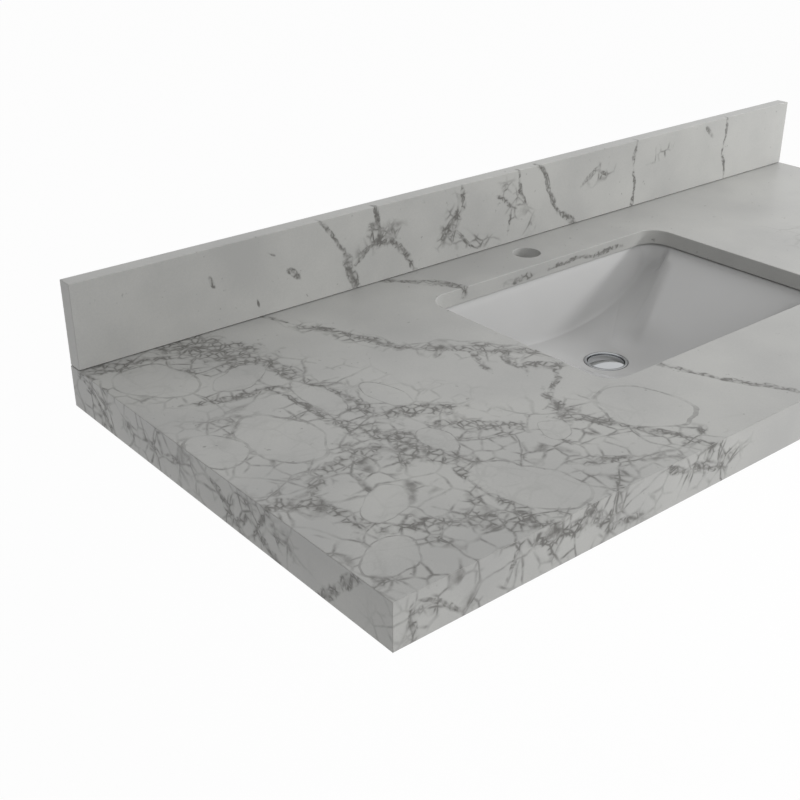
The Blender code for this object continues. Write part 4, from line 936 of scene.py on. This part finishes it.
fall = atan(DISH_FALL / (DISH_RADIUS - TUBE_BORE))
tangent = (1 - sin(fall)) / cos(fall)
steep = degrees(fall)
dish_foot = -DISH_DEPTH - DISH_FALL
outline = [
    (TUBE_BORE, TUBE_FOOT), (TUBE_ROOT - TUBE_CHAMFER, TUBE_FOOT), (TUBE_ROOT, TUBE_FOOT + TUBE_CHAMFER),
    (TUBE_ROOT, THREAD_TOP), (TUBE_CREST, THREAD_TOP + TUBE_CREST - TUBE_ROOT),
    (TUBE_CREST, dish_foot - DISH_WALL),
    (DISH_RADIUS + DISH_WALL, -DISH_DEPTH - DISH_WALL), (DISH_RADIUS + DISH_WALL, -BRIM),
    (FLANGE_OUTER - BRIM / 2, -BRIM), *arc((FLANGE_OUTER - BRIM / 2, -BRIM / 2), BRIM / 2, 0, 90, 8),
    *arc((DISH_RADIUS + DISH_LIP, -DISH_LIP), DISH_LIP, 90, 180, 8),
    *arc((DISH_RADIUS - DISH_FILLET, -DISH_DEPTH + DISH_FILLET * tangent), DISH_FILLET, 0, steep - 90, 6),
    *arc((TUBE_BORE + BORE_ROUND, dish_foot - BORE_ROUND * tangent), BORE_ROUND, 90 + steep, 180, 5),
]
body = turned(outline, 96)
BRIDGE_TOP, BRIDGE_FOOT, BRIDGE_ARM, ARM_INSET, ARM_ROUND = -0.028, -0.035, 0.003, 0.0004, 0.0005
BRIDGE_BOSS, BOSS_STEP, SPIGOT_HOLE, SPIGOT_HOLE_TOP = 0.0085, 0.001, 0.0053, -0.020
arm_end = (TUBE_CREST + TUBE_BORE) / 2 - ARM_INSET
arm = [(-arm_end, BRIDGE_FOOT), (arm_end, BRIDGE_FOOT), (arm_end, BRIDGE_TOP), (-arm_end, BRIDGE_TOP)]
tools = [(bent_bar(arm, BRIDGE_ARM, ARM_ROUND, turn=turn), "UNION") for turn in (90, 0)]
boss_foot = BRIDGE_FOOT - BOSS_STEP
boss = arc((BRIDGE_BOSS - BOSS_STEP, boss_foot + BOSS_STEP), BOSS_STEP, -90, 0, 4)
boss = turned([(0, boss_foot), *boss, (BRIDGE_BOSS, BRIDGE_TOP), (0, BRIDGE_TOP)], 56)
spigot_hole = rod(SPIGOT_HOLE, boss_foot - BOSS_STEP, SPIGOT_HOLE_TOP, 48)
tools += [(boss, "UNION"), (spigot_hole, "DIFFERENCE")]

# The windows face the overflow's channel, whichever way the body is turned
WINDOW_HALF, WINDOW_ROUND = 0.007, 0.002
top = basin_high.z - DRAIN_Z - channel_roof
foot = top - CHANNEL_HEIGHT
window = [(-WINDOW_HALF, foot), (WINDOW_HALF, foot), (WINDOW_HALF, top), (-WINDOW_HALF, top)]
for turn in (45, 135):
    tools.append((bent_bar(window, 2 * (TUBE_CREST + WINDOW_ROUND), WINDOW_ROUND, turn=turn), "DIFFERENCE"))
bm = bmesh.new()
bm.from_mesh(worked(body, tools))
add_thread(bm, TUBE_ROOT, TUBE_CREST, TUBE_PITCH, TUBE_FOOT + THREAD_FIT, THREAD_TOP + THREAD_FIT, 48)
on_drain("chromed_drain_body", bm, chrome, "chrome", "drain_body", flats=True)

# Rubber rings: the flange gasket, squeezed between the flange and the recess, and the cone gasket, drawn up
# against the underside of the basin's boss. Moulded rubber is dull black with a fine bloom.
RUBBER_COLOURS = ("#232323", "#2c2c2b")
bloom = {"Scale": 1 / 0.0008, "Detail": 4.0}
rubber = {"sheen": (0, 1, 0.55, 0.75), "relief": (0.15, 0.0001), "IOR": 1.52}
rubber = grained("moulded_rubber", bloom, RUBBER_COLOURS, **rubber)


def ring(node, bore, radius, rounding):
    """A flat ring as tall as its node, its edges rounded."""
    foot, top = heights(node)
    outline = []
    for edge, height, start in (
        (bore + rounding, foot + rounding, 180),
        (radius - rounding, foot + rounding, -90),
        (radius - rounding, top - rounding, 0),
        (bore + rounding, top - rounding, 90),
    ):
        outline += arc((edge, height), rounding, start, start + 90, 4)
    return turned(outline, 96)


RING_BORE, GASKET_ROUND = 0.02135, 0.0004
bm = ring("flange_gasket", FLARE_RADIUS + GLUE, FLANGE_OUTER - GLUE, GASKET_ROUND)
on_drain("squeezed_flange_gasket", bm, rubber, "rubber", "flange_gasket")
CONE_RADIUS, CONE_FOOT_RADIUS, CONE_EDGE, CONE_ROUND = 0.030, 0.026, 0.0027, 0.0005
foot, top = heights("cone_gasket")
slope = degrees(atan2(top - foot - CONE_EDGE, CONE_RADIUS - CONE_FOOT_RADIUS))
outline = [
    (RING_BORE, foot),
    *arc((CONE_FOOT_RADIUS - CONE_ROUND, foot + CONE_ROUND), CONE_ROUND, -90, slope - 90, 4),
    *arc((CONE_RADIUS - CONE_ROUND, top - CONE_EDGE), CONE_ROUND, slope - 90, 0, 3),
    *arc((CONE_RADIUS - CONE_ROUND, top - CONE_ROUND), CONE_ROUND, 0, 90, 4),
    (RING_BORE, top),
]
on_drain("moulded_cone_gasket", turned(outline, 96), rubber, "rubber", "cone_gasket")

# Friction washer: acetal, 1.5 mm thick, so that the nut turns without dragging the rubber round.
# Acetal is a waxy white plastic with a soft sheen and faint flow marks from the mould.
ACETAL_COLOURS = ("#d8d8d2", "#d1d1ca")
flow = {"Scale": 1 / 0.005, "Detail": 2.0, "Distortion": 0.8}
acetal = {"sheen": (0, 1, 0.32, 0.45), "relief": (0.05, 0.0002), "IOR": 1.48}
acetal = grained("moulded_acetal", flow, ACETAL_COLOURS, **acetal)
SLIP_RADIUS, SLIP_ROUND = 0.027, 0.0003
bm = ring("friction_washer", RING_BORE, SLIP_RADIUS, SLIP_ROUND)
on_drain("slip_washer", bm, acetal, "acetal", "friction_washer")

# Lock nut: a brass hexagon, 54 mm across its flats, its corners turned off at 30 degrees on both faces.
# It is screwed up the drain body and squeezes the rings against the basin.
NUT_CORNERS, NUT_PAST, NUT_EASE, BORE_CHAMFER, BORE_PAST = 0.031, 0.001, 0.0003, 0.0008, 0.002
foot, top = heights("lock_nut")
bm = bmesh.new()
ops.create_circle(bm, cap_ends=True, segments=6, radius=NUT_CORNERS)
ops.translate(bm, verts=bm.verts, vec=(0, 0, foot - NUT_PAST))
drawn_out(bm, (0, 0, top - foot + 2 * NUT_PAST))
flat = NUT_CORNERS * cos(pi / 6) - NUT_EASE
corner = NUT_CORNERS + NUT_PAST
fall = (corner - flat) * tan(radians(30))
turning = [(0, foot), (flat, foot), (corner, foot + fall), (corner, top - fall), (flat, top), (0, top)]
mouth = RING_BORE + BORE_CHAMFER + BORE_PAST
bore = [
    (0, foot - BORE_PAST), (mouth, foot - BORE_PAST), (RING_BORE, foot + BORE_CHAMFER),
    (RING_BORE, top - BORE_CHAMFER), (mouth, top + BORE_PAST), (0, top + BORE_PAST),
]
mesh = worked(bm, [(turned(turning, 96), "INTERSECT"), (turned(bore, 96), "DIFFERENCE")])
mesh.transform(drain_place)
finish_piece("hexagon_lock_nut", mesh, brass, "brass", "lock_nut")

# Tailpiece: drawn brass tube, 32 mm across, chrome-plated, with a collar and a threaded plug soldered on.
# It is screwed into the drain body on a flat rubber seal, and a trap fits on its foot.
TAIL_RADIUS, TAIL_WALL, COLLAR_ROUND, COLLAR_FOOT = 0.0159, 0.0010, 0.0006, -0.0630
PLUG_CREST, PLUG_ROOT, PLUG_PITCH, PLUG_FOOT, PLUG_CHAMFER = 0.0180, 0.0175, 0.0012, -0.0599, 0.0005
PLUG_THREAD_FOOT, PLUG_THREAD_END, TAIL_SEAL_ROUND = 0.0015, 0.0003, 0.0003
bm = ring("tailpiece_seal", PLUG_CREST + GLUE, TUBE_CREST - GLUE, TAIL_SEAL_ROUND)
on_drain("flat_tailpiece_seal", bm, rubber, "rubber", "tailpiece_seal")
foot, top = heights("tailpiece")
outline = [
    *arc((TAIL_RADIUS - TAIL_WALL / 2, foot + TAIL_WALL / 2), TAIL_WALL / 2, 180, 360, 8),
    (TAIL_RADIUS, COLLAR_FOOT),
    *arc((TUBE_CREST - COLLAR_ROUND, COLLAR_FOOT + COLLAR_ROUND), COLLAR_ROUND, -90, 0, 5),
    *arc((TUBE_CREST - COLLAR_ROUND, PLUG_FOOT - COLLAR_ROUND), COLLAR_ROUND, 0, 90, 5),
    (PLUG_ROOT, PLUG_FOOT), (PLUG_ROOT, top - PLUG_CHAMFER), (PLUG_ROOT - PLUG_CHAMFER, top),
    (TAIL_RADIUS - TAIL_WALL, top),
]
bm = turned(outline, 96)
add_thread(bm, PLUG_ROOT, PLUG_CREST, PLUG_PITCH, PLUG_FOOT + PLUG_THREAD_FOOT, top - PLUG_THREAD_END, 48)
on_drain("drawn_tailpiece", bm, chrome, "chrome", "tailpiece")

# Cartridge: a moulded acetal housing, screwed into the bridge, in which the plunger slides. The spring
# under the plunger lifts the stopper by 9 mm when it is pushed and let go.
VENT, SPIGOT_CREST, SPIGOT_ROOT = 0.0015, 0.0050, 0.0046
HOUSING_RADIUS, HOUSING_BORE, ROD_HOLE = 0.0072, 0.0040, 0.0029
HOUSING_LIP, HOUSING_FLOOR, HOUSING_ROUND, HOUSING_EASE = 0.0020, 0.0020, 0.0007, 0.0003
HOUSING_SEAT, SPIGOT_PITCH, SPIGOT_CHAMFER, SPIGOT_END = BRIDGE_TOP + GLUE, 0.0010, 0.0004, 0.0002
GROOVE, GROOVE_DEPTH, GROOVE_HEIGHTS = 0.0020, 0.0006, (-0.0245, -0.0215, -0.0185, -0.0155)
foot, top = heights("cartridge_housing")
grooves = []
for height in GROOVE_HEIGHTS:
    for deep, share in ((0, -1 / 2), (GROOVE_DEPTH, -1 / 4), (GROOVE_DEPTH, 1 / 4), (0, 1 / 2)):
        grooves.append((HOUSING_RADIUS - deep, height + GROOVE * share))
outline = [
    (VENT, foot), (SPIGOT_ROOT - SPIGOT_CHAMFER, foot), (SPIGOT_ROOT, foot + SPIGOT_CHAMFER),
    (SPIGOT_ROOT, HOUSING_SEAT),
    *arc((HOUSING_RADIUS - HOUSING_EASE, HOUSING_SEAT + HOUSING_EASE), HOUSING_EASE, -90, 0, 3),
    *grooves, *arc((HOUSING_RADIUS - HOUSING_ROUND, top - HOUSING_ROUND), HOUSING_ROUND, 0, 90, 6),
    (ROD_HOLE + HOUSING_EASE, top), (ROD_HOLE, top - HOUSING_EASE), (ROD_HOLE, top - HOUSING_LIP),
    (HOUSING_BORE, top - HOUSING_LIP), (HOUSING_BORE, foot + HOUSING_FLOOR), (VENT, foot + HOUSING_FLOOR),
]
bm = turned(outline, 64)
add_thread(bm, SPIGOT_ROOT, SPIGOT_CREST, SPIGOT_PITCH, foot + SPIGOT_CHAMFER, HOUSING_SEAT - SPIGOT_END, 32)
on_drain("moulded_cartridge", bm, acetal, "acetal", "cartridge_housing")

# Return spring: hard-drawn steel wire of 0.9 mm in four turns, which stretches when the stopper rises.
# It keeps the CAD node's mesh. Drawn wire is a dark bright metal with fine lines along it.
wire = {"sheen": (0, 1, 0.25, 0.42), "Base_Color": linear("#8e9093"), "Metallic": 1.0}
wire = grained("drawn_spring_wire", {"Scale": 1 / 0.0010, "Detail": 2.0}, **wire)
dress(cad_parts["return_spring"].data, wire)

# Plunger: a turned steel rod, 5 mm across, with the collar that the spring pushes on. The cap is screwed
# to its top, so it rises and falls with the cap.
ROD_RADIUS, ROD_COLLAR, COLLAR_HEIGHT, ROD_CHAMFER = 0.0025, 0.0036, 0.0025, 0.0004
foot, top = heights("plunger")
shoulder = foot + COLLAR_HEIGHT
outline = [
    (0, foot), (ROD_COLLAR - ROD_CHAMFER, foot), (ROD_COLLAR, foot + ROD_CHAMFER),
    (ROD_COLLAR, shoulder - ROD_CHAMFER),
    (ROD_COLLAR - ROD_CHAMFER, shoulder), (ROD_RADIUS, shoulder), (ROD_RADIUS, top - ROD_CHAMFER),
    (ROD_RADIUS - ROD_CHAMFER, top), (0, top),
]
on_drain("turned_plunger", turned(outline, 40), zinc, "zinc_steel", "plunger", body="stopper")

# Stopper cap: brass, turned and chrome-plated, 48 mm across, domed by 3 mm. It stands down in the dish,
# with a dark gap round it, and its underside has a boss for the plunger and a rib that holds the seal.
CAP_RADIUS, CAP_RISE, CAP_UNDER, CAP_ROUND = 0.0240, 0.0030, -0.0034, 0.0005
RIB_OUTER, RIB_THICK, RIB_FOOT = 0.0162, 0.0010, -0.0040
CAP_BOSS, CAP_BOSS_FOOT, ROD_THREAD, THREAD_REACH = 0.0045, -0.0094, 0.0028, 0.0010
top = heights("stopper_cap")[1]
dome_radius = (CAP_RADIUS**2 + CAP_RISE**2) / (2 * CAP_RISE)
dome_angle = degrees(asin((CAP_RADIUS - CAP_ROUND) / dome_radius))
dome = arc((0, top - dome_radius), dome_radius, 90, 90 - dome_angle, 28)
outline = [
    (0, top), *dome[1:],
    *arc((CAP_RADIUS - CAP_ROUND, dome[-1][1] - CAP_ROUND), CAP_ROUND, 60, 0, 5),
    *arc((CAP_RADIUS - CAP_ROUND / 2, CAP_UNDER + CAP_ROUND / 2), CAP_ROUND / 2, 0, -90, 4),
    (RIB_OUTER, CAP_UNDER), (RIB_OUTER, RIB_FOOT), (RIB_OUTER - RIB_THICK, RIB_FOOT),
    (RIB_OUTER - RIB_THICK, CAP_UNDER), (CAP_BOSS, CAP_UNDER),
    *arc((CAP_BOSS - CAP_ROUND, CAP_BOSS_FOOT + CAP_ROUND), CAP_ROUND, 0, -90, 4),
    (ROD_THREAD, CAP_BOSS_FOOT), (ROD_THREAD, CAP_UNDER + THREAD_REACH), (0, CAP_UNDER + THREAD_REACH),
]
cap = turned(outline, 128)
on_drain("domed_stopper_cap", cap, chrome, "chrome", "stopper_cap", body="stopper", crisp=40)

# Stopper seal: a flat rubber ring held by the cap's rib, which closes on the dish when the stopper is down.
# It is of the same rubber as the gaskets.
SEAL_BORE, SEAL_RADIUS, SEAL_ROUND = 0.0165, 0.0226, 0.0004
bm = ring("stopper_seal", SEAL_BORE, SEAL_RADIUS, SEAL_ROUND)
on_drain("rubber_stopper_seal", bm, rubber, "rubber", "stopper_seal", body="stopper")

# The room: a plain white floor where a bathroom's floor would be, and a white surround. A small lamp low
# before the right end of the top draws the basin's soft shadow; two large ones fill from above and in front.
FLOOR_LEVEL, FLOOR_HALF = -0.80, 9
scene = bpy.context.scene
camera = bpy.data.cameras.new("camera")
camera.lens = 54.63
camera.sensor_width = 36
camera.clip_start = 0.05
scene.camera = in_scene("camera", camera)
scene.camera.location = (-1.12702, -1.15065, 0.62200)
scene.camera.rotation_euler = (radians(62.988), 0, radians(-39.462))

floor_material, shader, add, place = new_material("white_floor", Roughness=0.8, Base_Color=linear("#f4f4f4"))
rays = add("LightPath").outputs
seen = add("Math", (rays["Is Camera Ray"], rays["Is Glossy Ray"]), operation="MAXIMUM")
seen = add("Math", (seen, 0.96), operation="MULTIPLY")
glow = add("Emission", {"Color": (1, 1, 1, 1), "Strength": 1.0})
mixed = add("MixShader", (seen, shader.outputs[0], glow))
feed(floor_material.node_tree.nodes["Material Output"], {"Surface": mixed})
bm = bmesh.new()
ops.create_grid(bm, x_segments=8, y_segments=8, size=FLOOR_HALF)
floor = in_scene("floor", as_mesh("floor", bm, Matrix.Translation((0, 0, FLOOR_LEVEL))))
dress(floor.data, floor_material)

world = bpy.data.worlds.new("white_surround")
scene.world = world
world.use_nodes = True
rays = add_node(world.node_tree, "LightPath").outputs
seen = rays["Is Camera Ray"]
for kind in ("Is Transmission Ray", "Is Glossy Ray"):
    seen = add_node(world.node_tree, "Math", (seen, rays[kind]), operation="MAXIMUM")
strength = add_node(world.node_tree, "MapRange", {"Value": seen, "To Min": 0.504, "To Max": 1.0})
feed(world.node_tree.nodes["Background"], {"Color": (1, 1, 1, 1), "Strength": strength})

for name, size, watts, spot in (
    ("key_lamp", 0.2, 16.0, (1.6, -1.1, 0.73)),
    ("top_lamp", 1.6, 10.3, (1.5, 0.2, 2.5)),
    ("front_lamp", 1.6, 25.4, (0.8, -2.8, 1.0)),
):
    lamp = in_scene(name, bpy.data.lights.new(name, "AREA"))
    lamp.data.shape = "SQUARE"
    lamp.data.size = size
    lamp.data.energy = watts
    lamp.location = spot
    lamp.visible_glossy = False
    lamp.rotation_euler = (Vector((0.1, -0.2, 0)) - Vector(spot)).to_track_quat("-Z", "Y").to_euler()
scene.view_settings.view_transform = "Standard"
